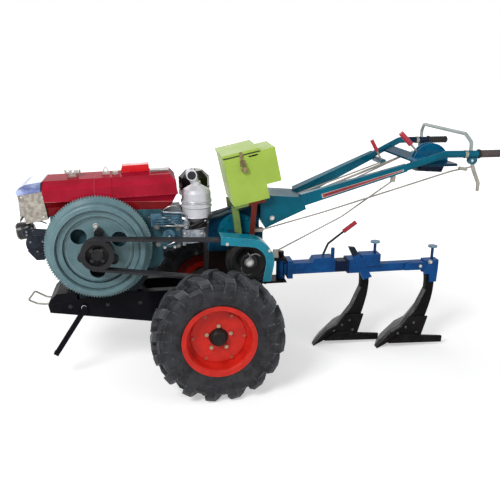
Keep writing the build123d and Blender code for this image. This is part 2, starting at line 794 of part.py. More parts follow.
def belt_guard():
    """Channel guard bent round the driven pulley: skin and outer flange."""
    outer_r = GUARD_R + GUARD_SHEET
    x, z = CLUTCH_X, CLUTCH_Z

    def band(out, inn):
        """Side view of the guard between two radii, run out straight at both ends."""
        edges = []
        corner, mid = radians(196), radians(140)
        points = []
        for r in (out, inn):
            points.append(
                (
                    (-30, z + r + 16),
                    (x, z + r),
                    (x + r * cos(mid), z + r * sin(mid)),
                    (x + r * cos(corner), z + r * sin(corner)),
                    (x - r + 16, 545),
                )
            )
        for p in points:
            edges += [Line(p[0], p[1]), ThreePointArc(p[1], p[2], p[3]), Line(p[3], p[4])]
        edges += [Line(points[0][0], points[1][0]), Line(points[0][4], points[1][4])]
        return Plane.XZ * make_face(edges)

    skin = Pos(0, GUARD_BACK_Y, 0) * extrude(band(outer_r, GUARD_R), -(GUARD_FACE_Y - GUARD_BACK_Y))
    lip = band(outer_r, outer_r - GUARD_LIP)
    return skin + Pos(0, GUARD_FACE_Y - GUARD_SHEET, 0) * extrude(lip, -GUARD_SHEET)


# Gearbox


def gearbox():
    """Transmission case: casting over the axle, narrower change box above it, bosses, tabs and handle seat."""
    t = CASE_WALL
    outline = [
        (62, 216),
        (RAIL_REAR_X - SEAT, 262),
        (RAIL_REAR_X - SEAT, RAIL_KNEE[1]),
        (24, 500),
        (14, 722),
        (8, 740),
        (CASE_REAR_X, 740),
        (CASE_REAR_X, 450),
        (-140, 216),
    ]
    seat = BASE_FRONT_X + SEAT
    upper = [(8, 728), (3, 806), (-130, 842), (seat, 872), (seat, 748), (-240, 728)]
    wide = [(20, 560), (10, 730), (-240, 730), (-250, 540)]
    top = CASE_TOP_HALF
    whole = plate(outline, -CASE_HALF, CASE_HALF) + plate(wide, -108, WIDE_LEFT_Y) + plate(upper, -top, top)
    bosses = ((0, AXLE_Z, 92, 112), (CLUTCH_X, CLUTCH_Z, 62, WIDE_LEFT_Y + 26), (-60, 470, 54, 108))
    for x, z, radius, out in bosses:
        whole = whole + across(x, z, radius, -112, out)
    whole = whole - inset_plate(outline, t, t - CASE_HALF, CASE_HALF - t)
    whole = whole - inset_plate(upper, t, t - top, top - t)
    whole = whole - inset_plate(wide, t, 90, WIDE_LEFT_Y - t)
    low, high = WIDE_LEFT_Y - 1, GUARD_BACK_Y - SEAT
    whole = whole + block(-110, -80, low, high, 700, 772) + block(-277, -240, low, high, 560, 592)
    half_disc = Circle(96) & Pos(0, 48) * Rectangle(200, 96)
    cover = Pos(-138, top - 1, 739) * extrude(Plane.XZ * half_disc, -26)
    return joined([whole, cover, across(CLUTCH_X, CLUTCH_Z, SHAFT_R, WIDE_LEFT_Y, BELT_MID_Y + 34)])


def axle_housing():
    """Flanged tube from the gearbox out to the wheel hub, with the half shaft."""
    profile = [
        (0, 111),
        (92, 111),
        (92, 126),
        (AXLE_TUBE_R + 8, 140),
        (AXLE_TUBE_R, 190),
        (AXLE_TUBE_R, AXLE_TUBE_END - 22),
        (AXLE_TUBE_R + 9, AXLE_TUBE_END - 18),
        (AXLE_TUBE_R + 9, AXLE_TUBE_END),
        (0, AXLE_TUBE_END),
    ]
    tube = turned(profile, 0, AXLE_Z) - across(0, AXLE_Z, AXLE_TUBE_R - 12, 120, AXLE_TUBE_END - 30)
    return tube + across(0, AXLE_Z, AXLE_R, AXLE_TUBE_END - 31, AXLE_TUBE_END + 60)


# Handles


def handle_base():
    """Folded box that carries the handles, open below."""
    outline = [
        (BASE_FRONT_X, 880),
        (BASE_FRONT_X, 806),
        (-276, 760),
        BASE_REAR_LOW,
        BASE_REAR_TOP,
        (-300, 926),
    ]
    inside = [
        (-262, 700),
        (-284, 772),
        (-262, 808),
        (-262, 872),
        (-300, 914),
        (-452, 898),
        (-474, 850),
        (-560, 880),
        (-500, 700),
    ]
    return plate(outline, -BASE_HALF, BASE_HALF) - plate(inside, 5 - BASE_HALF, BASE_HALF - 5)


def before_base():
    """Everything ahead of the base's rear face, a seat's width off it."""
    x0, z0 = BASE_REAR_LOW
    dx, dz = BASE_REAR_TOP[0] - x0, BASE_REAR_TOP[1] - z0
    size = hypot(dx, dz)
    ux, uz = dx / size, dz / size
    x0, z0 = x0 - SEAT * uz, z0 + SEAT * ux
    low = (x0 - 300 * ux, z0 - 300 * uz)
    high = (x0 + 300 * ux, z0 + 300 * uz)
    return plate([low, high, (0, high[1]), (0, low[1])], -400, 400)


def arm_box(sign, extra=0.0):
    """Tapered box part of a handle arm."""
    start = (-440, sign * 74, 884)
    end = (-950, sign * 227.4, 1068.6)
    span = Vector(*end) - Vector(*start)
    level = Plane(origin=start, x_dir=span.cross(Vector(0, 0, 1)), z_dir=span)
    first = level * Rectangle(52 + 2 * extra, 62 + 2 * extra)
    far = Plane(origin=end, x_dir=level.x_dir, z_dir=span)
    return loft([first, far * Rectangle(2 * TUBE_R + 2 * extra, 2 * TUBE_R + 2 + 2 * extra)])


def arm_tube(sign, extra=0.0):
    """Round tube part of a handle arm, kinked and run back level to the grip."""
    path = [
        (-800, sign * 182, 1011),
        (-985, sign * 238, 1082),
        (-1120, sign * SPREAD / 2, 1136),
        (GRIP_START_X, sign * SPREAD / 2, 1134),
    ]
    return rod(path, TUBE_R + extra, 60)


def handle_arms():
    """Both arms, each a tapered box that runs into a tube, seated on the base."""
    arms = []
    for sign in (1, -1):
        arms.append((arm_box(sign) - before_base()) + arm_tube(sign))
    return joined(arms)


def grip(sign):
    """Ribbed hand grip on the end of an arm."""
    length = GRIP_START_X - SEAT - GRIP_END_X
    profile = [(0.0, 0.0), (GRIP_R + 4, 0.0), (GRIP_R + 4, 8.0)]
    for i in range(8):
        low = 10.0 + i * 12.0
        profile += [(GRIP_R - 1.5, low), (GRIP_R - 1.5, low + 3), (GRIP_R, low + 5), (GRIP_R, low + 9)]
    profile += [(GRIP_R, length - 5), (GRIP_R - 6, length), (0.0, length)]
    shape = revolve(Plane.XZ * make_face(Polyline(*profile, close=True)), Axis.Z)
    return Pos(GRIP_START_X - SEAT, sign * SPREAD / 2, 1134) * Rot(0, -90, 0) * shape


def cross_hoop():
    """Bent guard tube that arches over the handles."""
    half = SPREAD / 2
    foot = 1134.5 + TUBE_R + SEAT
    path = [
        (-1250, -half, foot),
        (-1250, -half, 1190),
        (-1240, -half + 46, 1226),
        (-1240, half - 46, 1226),
        (-1250, half, 1190),
        (-1250, half, foot),
    ]
    return rod(path, 9.0, 22)


def quadrant():
    """Lever quadrant: cross plate between the arms with a half-round guide and its switch box."""
    cross = plate([(-1010, 1082), (-1010, 1092), (-1060, 1112), (-1060, 1102)], -255, 255)
    for sign in (1, -1):
        cross = cross - arm_tube(sign, SEAT)
    guides = []
    for y in GUIDE_Y:
        half_disc = Circle(92) & Pos(0, 50) * Rectangle(200, 100)
        guides.append(Pos(-1118, y, 1078) * extrude(Plane.XZ * half_disc, -8))
    floor = block(-1210, -1026, GUIDE_Y[0], 240, 1070, 1082)
    box = plate([(-996, 1052), (-1131, 1042), (-1142, 1071), (-1026, 1071)], 150, 236)
    return joined([cross, floor, box] + guides)


def clutch_lever():
    """Main clutch lever with a round grip, on a pin between the guide plates."""
    root = (-1096, 116, 1096)
    knee = (-1050, 112, 1130)
    tip = (-968, 100, 1216)
    stem = rod([root, knee, tip], 5.5, 10)
    span = (Vector(*tip) - Vector(*knee)).normalized()
    handle = rod([Vector(*tip) - span * 74, Vector(*tip) + span * 6], 13)
    pin = across(-1096, 1096, 7, GUIDE_Y[0] + 8 + SEAT, GUIDE_Y[1] - SEAT)
    return joined([stem, handle, pin])


def speed_lever():
    """Small lever on the far arm, with the long rod that it works."""
    root, tip = (-966, -128, 1040), (-902, -128, 1152)
    stem = rod([root, tip], 5)
    span = (Vector(*tip) - Vector(*root)).normalized()
    pad = block(-982, -953, -250, -118, 1030, 1052) - arm_tube(-1, SEAT) - arm_box(-1, SEAT)
    handle = rod([Vector(*tip) - span * 60, Vector(*tip) + span * 6], 10)
    link = rod([(-966, -124, 1041), (-467.8, -26, 900.4)], 4)
    return joined([stem, handle, pad.solids().sort_by(Axis.Y)[-1], link])


def selector_rod():
    """Long rod from the lever guide to the handle base."""
    return rod([(-1098, GUIDE_Y[0] - SEAT, 1101), (-1098, -50, 1101), (-477.9, -50, 871.5)], 6, 14)


def steering_lever(sign):
    """Squeeze lever under the grip, cut from flat bar, in its bracket."""
    y = sign * SPREAD / 2
    top = 1134 - TUBE_R - SEAT
    corners = [(-1240, top), (-1240, 1098), (-1250, 1086), (-1272, 1086), (-1282, 1098), (-1282, top)]
    strip = [
        (-1254, 1092),
        (-1268, 1050),
        (-1298, 990),
        (-1300, 951),
        (-1312, 951),
        (-1314, 992),
        (-1284, 1056),
        (-1270, 1092),
    ]
    return plate(corners, y - 13, y + 13) + plate(strip, y - LEVER_HALF, y + LEVER_HALF)


def brake_rod():
    """Rod from a clip under the near arm down to a lug on the hitch."""
    lug = plate([(-328, 577.4), (-362, 577.4), (-358, 622), (-334, 622)], 28, 42)
    clip = block(-905, -883, 200, 214, 996, 1056) - arm_box(1, SEAT)
    low_part = clip.solids().sort_by(Axis.Z)[0]
    return joined([lug, rod([(-346, 36, 612), (-667, 128, 810), (-894, 207, 1002)], 4, 60), low_part])


def steering_rods():
    """Both steering rods, from the levers down to the gearbox arms."""
    whole = []
    for sign in (1, -1):
        y = sign * SPREAD / 2
        path = [(-1272, y, 1074), (-1160, y * 0.98, 1052), (-560, sign * 140, 838), (-258, sign * 118, 756)]
        whole.append(rod(path, 4, 40))
        near, far = CASE_HALF + SEAT, 130
        whole.append(block(-264, -214, min(sign * near, sign * far), max(sign * near, sign * far), 748, 764))
    return joined(whole)


# Tool box, drawn in its own leaning frame


def leaning(shape):
    """Puts a piece drawn from the box's lower front corner into place."""
    return Pos(BOX_CORNER[0], 0, BOX_CORNER[1]) * Rot(0, BOX_LEAN, 0) * shape


def toolbox_body():
    """Open sheet box with a hand slot, and the closed battery case behind it."""
    t = BOX_SHEET
    box = block(-BOX_LENGTH, 0, -BOX_HALF, BOX_HALF, 0, BOX_HEIGHT)
    box = box - block(-BOX_LENGTH + t, -t, -BOX_HALF + t, BOX_HALF - t, t, BOX_HEIGHT + 1)
    low = -BOX_LENGTH - SIDE_BOX_LENGTH
    side = block(low, 1 - BOX_LENGTH, BOX_HALF - 2 * SIDE_BOX_HALF, BOX_HALF, SIDE_BOX_LOW, SIDE_BOX_HIGH)
    slot = block(-168, -122, BOX_HALF - t - 1, BOX_HALF + 1, BOX_HEIGHT - 20, BOX_HEIGHT - 13)
    return leaning(box + side - slot)


def toolbox_lid():
    """Shallow tray lid that stands a little proud of the box in front and on the near side."""
    t = BOX_SHEET
    low = BOX_HEIGHT + SEAT
    near, ahead = BOX_HALF + LID_OVER, LID_OVER
    lid = block(-BOX_LENGTH, ahead, -BOX_HALF, near, low, low + LID_HEIGHT)
    lid = lid - block(-BOX_LENGTH + t, ahead - 2 * t, -BOX_HALF + t, near - 2 * t, low - 1, low + LID_HEIGHT - t)
    return leaning(lid)


def toolbox_leg():
    """Posts and cross plate that carry the tool box."""
    foot = 730 + SEAT
    corners = [(-106, 879), (-138, 872), (-156, foot), (-124, foot)]
    rear = [(-203, 897), (-229, 902), (-213, foot), (-190, foot)]
    base = leaning(block(-160, -4, -132, 149, -14, -SEAT))
    return joined([plate(corners, CASE_HALF, 130), base, plate(corners, -120, -CASE_HALF), plate(rear, 131, 149)])


# Plough


def hitch():
    """Drawbar bracket on the gearbox's rear face, with its two pin plates."""
    face = CASE_REAR_X - SEAT
    back = plate([(face, 585), (face, 448), (-292, 440), (-300, 470), (-300, 560), (-290, 590)], -60, 60)
    upper = plate([(-290, 562), (-290, 578), (-402, 574), (-402, 562)], -50, 50)
    lower = plate([(-280, 440), (-290, 452), (-402, 452), (-408, 440)], -50, 50)
    pin = upright(HITCH_X, 0, HITCH_PIN_R, 425, 592)
    head = upright(HITCH_X, 0, 17, 578, 600)
    return joined([back, upper, lower, pin, head])


def plough_beam():
    """Two-stage square beam with its hitch sleeve."""
    front_half, rear_half = BEAM_FRONT / 2, BEAM_REAR / 2
    sleeve = upright(HITCH_X, 0, HITCH_SLEEVE_R, 452 + SEAT, 562 - 6)
    z = BEAM_FRONT_Z
    front = block(BEAM_STEP_X, HITCH_X - 14, -front_half, front_half, z - front_half, z + front_half)
    z = BEAM_REAR_Z
    rear = block(BEAM_END_X, BEAM_STEP_X + 60, -rear_half, rear_half, z - rear_half, z + rear_half)
    neck = plate([(-412, 556), (-440, 556), (-440, 458), (-412, 458)], -44, 44)
    return joined([front, rear, sleeve, neck]) - upright(HITCH_X, 0, HITCH_PIN_R + RUN, 400, 700)


def plough_clamps():
    """Saddle, depth box, brace and the clamps that hold the shanks."""
    top = BEAM_FRONT_Z + BEAM_FRONT / 2 - 1
    saddle = plate([(-545, top), (-560, 560), (-662, 562), (-690, top)], -34, 34)
    peg = upright(-668, 0, 10, 545, 604)
    box = block(-928, -822, -34, 34, 500, 566)
    brace = plate([(-740, 620), (-776, 615), (-882, 442), (-834, 427)], BEAM_FRONT / 2 - 1, BEAM_FRONT / 2 + 13)
    bearer = block(-832, -742, -BEAM_FRONT / 2 - 8, BEAM_FRONT / 2 + 8, BEAM_FRONT_Z - BEAM_FRONT / 2 - 8, 545)
    low = BEAM_REAR_Z - BEAM_REAR / 2
    half = SHANK_THICK / 2 + SEAT
    cheeks = []
    for x, y in BODY_TIPS:
        near = [(x - 244, low + 4), (x - 250, 434), (x - 322, 434), (x - 326, low + 4)]
        for side in (y - half - 12, y + half):
            cheeks.append(plate(near, side, side + 12))
    x, y = BODY_TIPS[0]
    out = block(x - 324, x - 244, y - half - 12, -10, low, low + BEAM_REAR)
    x, y = BODY_TIPS[1]
    cap = block(x - 326, x - 244, y - half - 12, y + half + 12, low, low + BEAM_REAR + 8)
    long_cheek = plate([(x - 130, low + 2), (x - 130, low + 40), (x - 250, low + 46), (x - 250, low)], 21, 33)
    tail = plate([(x - 278, low + 4), (x - 282, 386), (x - 322, 386), (x - 326, low + 4)], y + half, y + half + 12)
    return joined([saddle, peg, box, brace, bearer, out, cap, long_cheek, tail] + cheeks)


def shank(tip):
    """Curved flat bar that carries one plough body, with the frog behind its board."""
    x, y = tip
    top = BEAM_REAR_Z - BEAM_REAR / 2 - SEAT
    edges = [
        Spline((-252, top), (-264, 340), (-238, 235), (-158, 100)),
        Line((-158, 100), (-255, 100)),
        Spline((-255, 100), (-294, 230), (-313, 335), (-302, top)),
        Line((-302, top), (-252, top)),
    ]
    face = Plane.XZ * make_face(edges)
    bar = Pos(x, y - SHANK_THICK / 2, 0) * extrude(face, -SHANK_THICK)
    step = BOARD_THICK + 0.4
    line = [(x + px - step, pz) for px, pz in BOARD_LINE]
    frog = line[1:] + [(x - 286, 320), (x - 266, 200), (x - 230, 110), (x - 150, 60)]
    whole = bar + plate(frog, y - SHANK_THICK / 2, y + SHANK_THICK / 2)
    ahead = line + [(line[-1][0], line[-1][1] + SEAT), (x, line[-1][1] + SEAT)]
    return whole - plate(ahead, y - SHANK_THICK, y + SHANK_THICK)


def share_point(tip):
    """Side plate, share and landside of one body."""
    x, y = tip
    low = y + SHANK_THICK / 2 + SEAT
    corners = [(0, 0), (-82, 90), (-140, 122), (-183, 181), (-291, 178), (-260, 66), (-85, 44)]
    side = plate([(x + px, pz) for px, pz in corners], low, low + 12)
    bar = plate([(x - 130, 82), (x - 382, 56), (x - 380, 20), (x - 62, 34)], low + 12, low + 26)
    return side + bar


def moldboard(tip):
    """Curved board that turns the soil to the right: a bent strip lofted outwards."""
    x, y = tip
    stations = (
        (0, 0, 0, 1.0),
        (SHANK_THICK + 1, 0, 0, 1.0),
        (90, 32, 8, 0.98),
        (170, 84, 26, 0.9),
    )
    sections = []
    for out, back, curl, reach in stations:
        line = []
        for px, pz in BOARD_LINE:
            line.append((x - back + px - curl * (pz / 340) ** 2, pz * reach))
        rear = [(px - BOARD_THICK, pz) for px, pz in reversed(line)]
        corners = [(px, y + SHANK_THICK / 2 - out, pz) for px, pz in line + rear]
        sections.append(make_face(Polyline(*corners, close=True)))
    return loft(sections, ruled=True)


def both(build):
    """The same piece for both plough bodies."""
    return joined([build(tip) for tip in BODY_TIPS])


def screw(x, z_low, wheel_z):
    """Adjusting screw with a disc handle that stands a stated height above its seat."""
    return upright(x, 0, 8, z_low, wheel_z) + upright(x, 0, 26, wheel_z - 4, wheel_z + 4)


def plough_screws():
    """Depth and width screws."""
    rear_top = BEAM_REAR_Z + BEAM_REAR / 2 + 8
    return screw(-905, 566 + SEAT, 566 + 62) + screw(-1240, rear_top + SEAT, rear_top + 72)


def plough_lever():
    """Swing-lock lever with its grip."""
    stem = rod([(-612, 0, 564), (-640, 0, 630), (-740, 0, 706), (-790, 0, 742)], 6, 10)
    return stem + rod([(-722, 0, 693), (-790, 0, 742)], 12)


def write(name, shape):
    """Moves a finished piece into the part's own frame and stores it."""
    whole = Compound(list(shape.solids()))
    export_step(Pos(AXLE_X, 0, 0) * whole, "parts/" + name + ".step")


def main():
    """Builds every piece."""
    os.makedirs("parts", exist_ok=True)
    left_tyre = tyre()
    write("tyre_left", left_tyre)
    write("tyre_right", mirrored(left_tyre))
    left_rim = rim()
    write("rim_left", left_rim)
    write("rim_right", mirrored(left_rim))
    left_hub = wheel_hub()
    write("hub_left", left_hub)
    write("hub_right", mirrored(left_hub))
    write("chassis_frame", joined([chassis_frame(), stand_pin()]))
    write("front_stand", front_stand())
    write("front_bracket", front_bracket())
    write("front_loop", front_loop())
    write("engine_block", engine_block())
    write("cylinder_head", joined([cylinder_head(), fuel_pump()]))
    write("rocker_cover", rocker_cover())
    write("exhaust_manifold", exhaust_manifold())
    write("muffler", muffler())
    write("air_filter", air_filter())
    write("radiator", radiator())
    write("nose_cover", nose_cover())
    write("hood", hood())
    write("hood_fittings", hood_fittings())
    write("starter_motor", starter_motor())
    write("headlamp", headlamp())
    write("flywheel", flywheel())
    write("crank_pulley", crank_pulley())
    write("clutch_pulley", clutch_pulley())
    write("belts", belts())
    write("belt_guard", belt_guard())
    tube = axle_housing()
    write("gearbox", joined([gearbox(), tube, mirrored(tube)]))
    write("handle_base", handle_base())
    write("handle_arms", handle_arms())
    write("grips", joined([grip(1), grip(-1)]))
    write("cross_hoop", cross_hoop())
    write("quadrant", quadrant())
    write("clutch_lever", clutch_lever())
    write("speed_lever", speed_lever())
    levers = [steering_lever(1), steering_lever(-1)]
    write("steering_gear", joined(levers + [steering_rods(), selector_rod(), brake_rod()]))
    write("toolbox_body", toolbox_body())
    write("toolbox_lid", toolbox_lid())
    write("toolbox_leg", toolbox_leg())
    write("hitch", hitch())
    write("plough_beam", joined([plough_beam(), plough_clamps()]))
    write("plough_shanks", both(shank))
    write("plough_shares", both(share_point))
    write("moldboards", both(moldboard))
    write("plough_controls", joined([plough_screws(), plough_lever()]))


main()
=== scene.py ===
import math

import bpy
import numpy as np
from mathutils import Matrix, Vector


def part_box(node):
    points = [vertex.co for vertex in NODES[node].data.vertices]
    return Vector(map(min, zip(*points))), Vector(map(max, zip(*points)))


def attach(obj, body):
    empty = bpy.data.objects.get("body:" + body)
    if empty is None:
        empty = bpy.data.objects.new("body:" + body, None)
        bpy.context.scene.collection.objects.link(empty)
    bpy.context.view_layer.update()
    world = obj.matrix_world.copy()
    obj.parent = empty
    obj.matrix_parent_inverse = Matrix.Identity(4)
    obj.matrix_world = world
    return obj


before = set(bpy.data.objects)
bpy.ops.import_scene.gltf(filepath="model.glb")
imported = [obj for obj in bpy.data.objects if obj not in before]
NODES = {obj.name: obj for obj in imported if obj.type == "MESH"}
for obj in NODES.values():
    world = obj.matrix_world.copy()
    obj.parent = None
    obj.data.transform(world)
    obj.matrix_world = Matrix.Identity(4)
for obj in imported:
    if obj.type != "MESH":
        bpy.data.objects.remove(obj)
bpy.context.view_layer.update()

# Two-wheel walking tractor with a two-furrow plough. Metres; forward is +X, left is +Y, up is +Z.
# Places of pieces are measured from the wheel axle, which lies AXLE forward of the frame's middle.
# A pair is a line that runs left to right through (x, z): wheel, crankshaft, clutch, gearbox dome.
AXLE = 0.2340
HUB_Z = 0.320
HUB = (0.0, HUB_Z)
CRANK = (0.540, 0.712)
CLUTCH = (-0.165, 0.642)
DOME = (-0.138, 0.739)
LAMP = (0.896, 0.0, 0.772)
LAMP_AXIS = (0.9903, 0.0, -0.1392)
BOX_CORNER = (-0.113, 0.885)
BOX_LEAN = math.radians(12.3)


def linked(name, data):
    """New object from its data, in the scene."""
    made = bpy.data.objects.new(name, data)
    bpy.context.collection.objects.link(made)
    return made


# Effects that several materials share


def node(tree, kind):
    """New shader node of a kind in a tree."""
    return tree.nodes.new("ShaderNode" + kind)


# Turn of the normal, in parts of 1, at which an edge begins to look rubbed and to carry its painted
# highlight, and at which it is fully so
RUB_AND_LIGHT_FROM, RUB_AND_LIGHT_FULL = 0.02, 0.16
# How much of the dust lies on faces that look up, wherever they are
DUST_ON_TOP = 0.3


def new_group(name, inputs, outputs):
    """Empty shader group with float inputs, each with its default, and named outputs."""
    group = bpy.data.node_groups.new(name, "ShaderNodeTree")
    for label, value in inputs:
        socket = group.interface.new_socket(name=label, in_out="INPUT", socket_type="NodeSocketFloat")
        socket.default_value = value
    for label in outputs:
        group.interface.new_socket(name=label, in_out="OUTPUT", socket_type="NodeSocketFloat")
    return group, group.nodes.new("NodeGroupInput"), group.nodes.new("NodeGroupOutput")


def noise(tree, scale, detail, roughness):
    """Noise on the piece's own place in metres; scale is a number or a socket."""
    made = node(tree, "TexNoise")
    made.inputs["Detail"].default_value = detail
    made.inputs["Roughness"].default_value = roughness
    tree.links.new(object_place(tree), made.inputs["Vector"])
    if isinstance(scale, float):
        made.inputs["Scale"].default_value = scale
    else:
        tree.links.new(scale, made.inputs["Scale"])
    return made.outputs["Fac"]


def ramp(tree, source, low, high):
    """Values from low to high stretched over 0 to 1, smoothly."""
    made = node(tree, "MapRange")
    made.interpolation_type = "SMOOTHSTEP"
    made.inputs["From Min"].default_value = low
    made.inputs["From Max"].default_value = high
    tree.links.new(source, made.inputs["Value"])
    return made.outputs["Result"]


def reckon(tree, operation, first, second):
    """Two numbers or sockets joined by one operation, kept between 0 and 1 where they are masks."""
    made = node(tree, "Math")
    made.operation = operation
    made.use_clamp = operation in ("MULTIPLY", "ADD", "SUBTRACT")
    for place, value in enumerate((first, second)):
        if isinstance(value, (int, float)):
            made.inputs[place].default_value = value
        else:
            tree.links.new(value, made.inputs[place])
    return made.outputs[0]


def object_place(tree):
    """Where a point lies on the object, in metres."""
    return node(tree, "TexCoord").outputs["Object"]


def facing(tree):
    """Upward part of the surface's normal."""
    geometry = node(tree, "NewGeometry")
    split = node(tree, "SeparateXYZ")
    tree.links.new(geometry.outputs["Normal"], split.inputs[0])
    return split.outputs["Z"]


def build_rubbed_and_lit_edges():
    """Mask of rubbed edges and of edges with a painted highlight: where a rounded normal parts from the real
    one, broken up by noise.
    """
    group, start, end = new_group("rubbed_and_lit_edges", [("Reach", 0.004), ("Amount", 0.5)], ["Mask"])
    bevel = node(group, "Bevel")
    bevel.samples = 4
    group.links.new(start.outputs["Reach"], bevel.inputs["Radius"])
    geometry = node(group, "NewGeometry")
    dot = node(group, "VectorMath")
    dot.operation = "DOT_PRODUCT"
    group.links.new(bevel.outputs["Normal"], dot.inputs[0])
    group.links.new(geometry.outputs["Normal"], dot.inputs[1])
    bent = reckon(group, "SUBTRACT", 1.0, dot.outputs["Value"])
    broken = ramp(group, noise(group, 90.0, 6.0, 0.7), 0.42, 0.62)
    rubbed_and_lit = reckon(group, "MULTIPLY", ramp(group, bent, RUB_AND_LIGHT_FROM, RUB_AND_LIGHT_FULL), broken)
    group.links.new(reckon(group, "MULTIPLY", rubbed_and_lit, start.outputs["Amount"]), end.inputs["Mask"])
    return group


def build_mottle():
    """Uneven tone of a sprayed or cast surface from wide noise, and a height from fine noise."""
    group, start, end = new_group("mottle", [("Scale", 8.0), ("Grain", 300.0)], ["Tone", "Height"])
    wide = noise(group, start.outputs["Scale"], 5.0, 0.62)
    fine = noise(group, start.outputs["Grain"], 3.0, 0.5)
    group.links.new(ramp(group, wide, 0.32, 0.68), end.inputs["Tone"])
    group.links.new(fine, end.inputs["Height"])
    return group


def build_dust():
    """Mask of road dust: thicker low down and on faces that look up, broken by noise."""
    group, start, end = new_group("dust", [("Height", 0.35), ("Amount", 0.3)], ["Mask"])
    split = node(group, "SeparateXYZ")
    group.links.new(object_place(group), split.inputs[0])
    low = reckon(group, "DIVIDE", split.outputs["Z"], start.outputs["Height"])
    low = reckon(group, "SUBTRACT", 1.0, low)
    up = reckon(group, "MULTIPLY", ramp(group, facing(group), 0.2, 1.0), DUST_ON_TOP)
    broken = ramp(group, noise(group, 14.0, 7.0, 0.65), 0.38, 0.7)
    dusty = reckon(group, "MULTIPLY", reckon(group, "ADD", low, up), broken)
    group.links.new(reckon(group, "MULTIPLY", dusty, start.outputs["Amount"]), end.inputs["Mask"])
    return group


RUBBED_AND_LIT_EDGES = build_rubbed_and_lit_edges()
MOTTLE = build_mottle()
DUST = build_dust()

# Places on a piece that take another paint, painted shade or a painted highlight


def within(tree, value, low, high):
    """Mask that is 1 where a value lies between low and high."""
    made = node(tree, "Math")
    made.operation = "COMPARE"
    tree.links.new(value, made.inputs[0])
    made.inputs[1].default_value = (low + high) / 2
    made.inputs[2].default_value = (high - low) / 2
    return made.outputs[0]


def vector_value(tree, operation, source, fixed):
    """One vector operation on a place and a fixed vector."""
    made = node(tree, "VectorMath")
    made.operation = operation
    tree.links.new(source, made.inputs[0])
    made.inputs[1].default_value = fixed
    return made


def slab(normal, low, high, origin=(0.0, 0.0, 0.0)):
    """Region between two planes square to a normal, at low and high metres from an origin."""
    shift = normal[0] * (origin[0] + AXLE) + normal[1] * origin[1] + normal[2] * origin[2]

    def mask(tree):
        dot = vector_value(tree, "DOT_PRODUCT", object_place(tree), normal)
        return within(tree, dot.outputs["Value"], low + shift, high + shift)

    return mask


def drum(centre, low, high):
    """Region between two radii round a line that runs left to right through (x, z)."""

    def mask(tree):
        seen = vector_value(tree, "MULTIPLY", object_place(tree), (1.0, 0.0, 1.0))
        away = vector_value(tree, "DISTANCE", seen.outputs[0], (centre[0] + AXLE, 0.0, centre[1]))
        return within(tree, away.outputs["Value"], low, high)

    return mask


def meet(*regions):
    """Region where all the given ones hold."""

    def mask(tree):
        result = regions[0](tree)
        for region in regions[1:]:
            result = reckon(tree, "MULTIPLY", result, region(tree))
        return result

    return mask


def cell(x=None, y=None, z=None):
    """Upright box region from the given spans; a direction left out has no limit."""
    spans = (((1, 0, 0), x), ((0, 1, 0), y), ((0, 0, 1), z))
    return meet(*[slab(axis, *span) for axis, span in spans if span is not None])


# Materials by name

MATERIALS = {}
COAT_ROUGH = 0.12
RELIEF_DEPTH = 0.002
# A patch's darker tone beside its lighter one
PATCH_DARK = 0.72


def placed(tree, group, **values):
    """One group placed in a material with its own values."""
    made = node(tree, "Group")
    made.node_tree = group
    for key, value in values.items():
        made.inputs[key].default_value = value
    return made


def mixed(tree, mask, first, second):
    """Colour that goes from first to second by a mask."""
    made = node(tree, "Mix")
    made.data_type = "RGBA"
    tree.links.new(mask, made.inputs["Factor"])
    for name, value in (("A", first), ("B", second)):
        socket = [s for s in made.inputs if s.name == name and s.type == "RGBA"][0]
        if isinstance(value, tuple):
            socket.default_value = (*value, 1.0)
        else:
            tree.links.new(value, socket)
    return [s for s in made.outputs if s.type == "RGBA"][0]


def between(tree, mask, first, second):
    """Number that goes from first to second by a mask."""
    made = node(tree, "MapRange")
    tree.links.new(mask, made.inputs["Value"])
    for name, value in (("To Min", first), ("To Max", second)):
        if isinstance(value, float):
            made.inputs[name].default_value = value
        else:
            tree.links.new(value, made.inputs[name])
    return made.outputs["Result"]


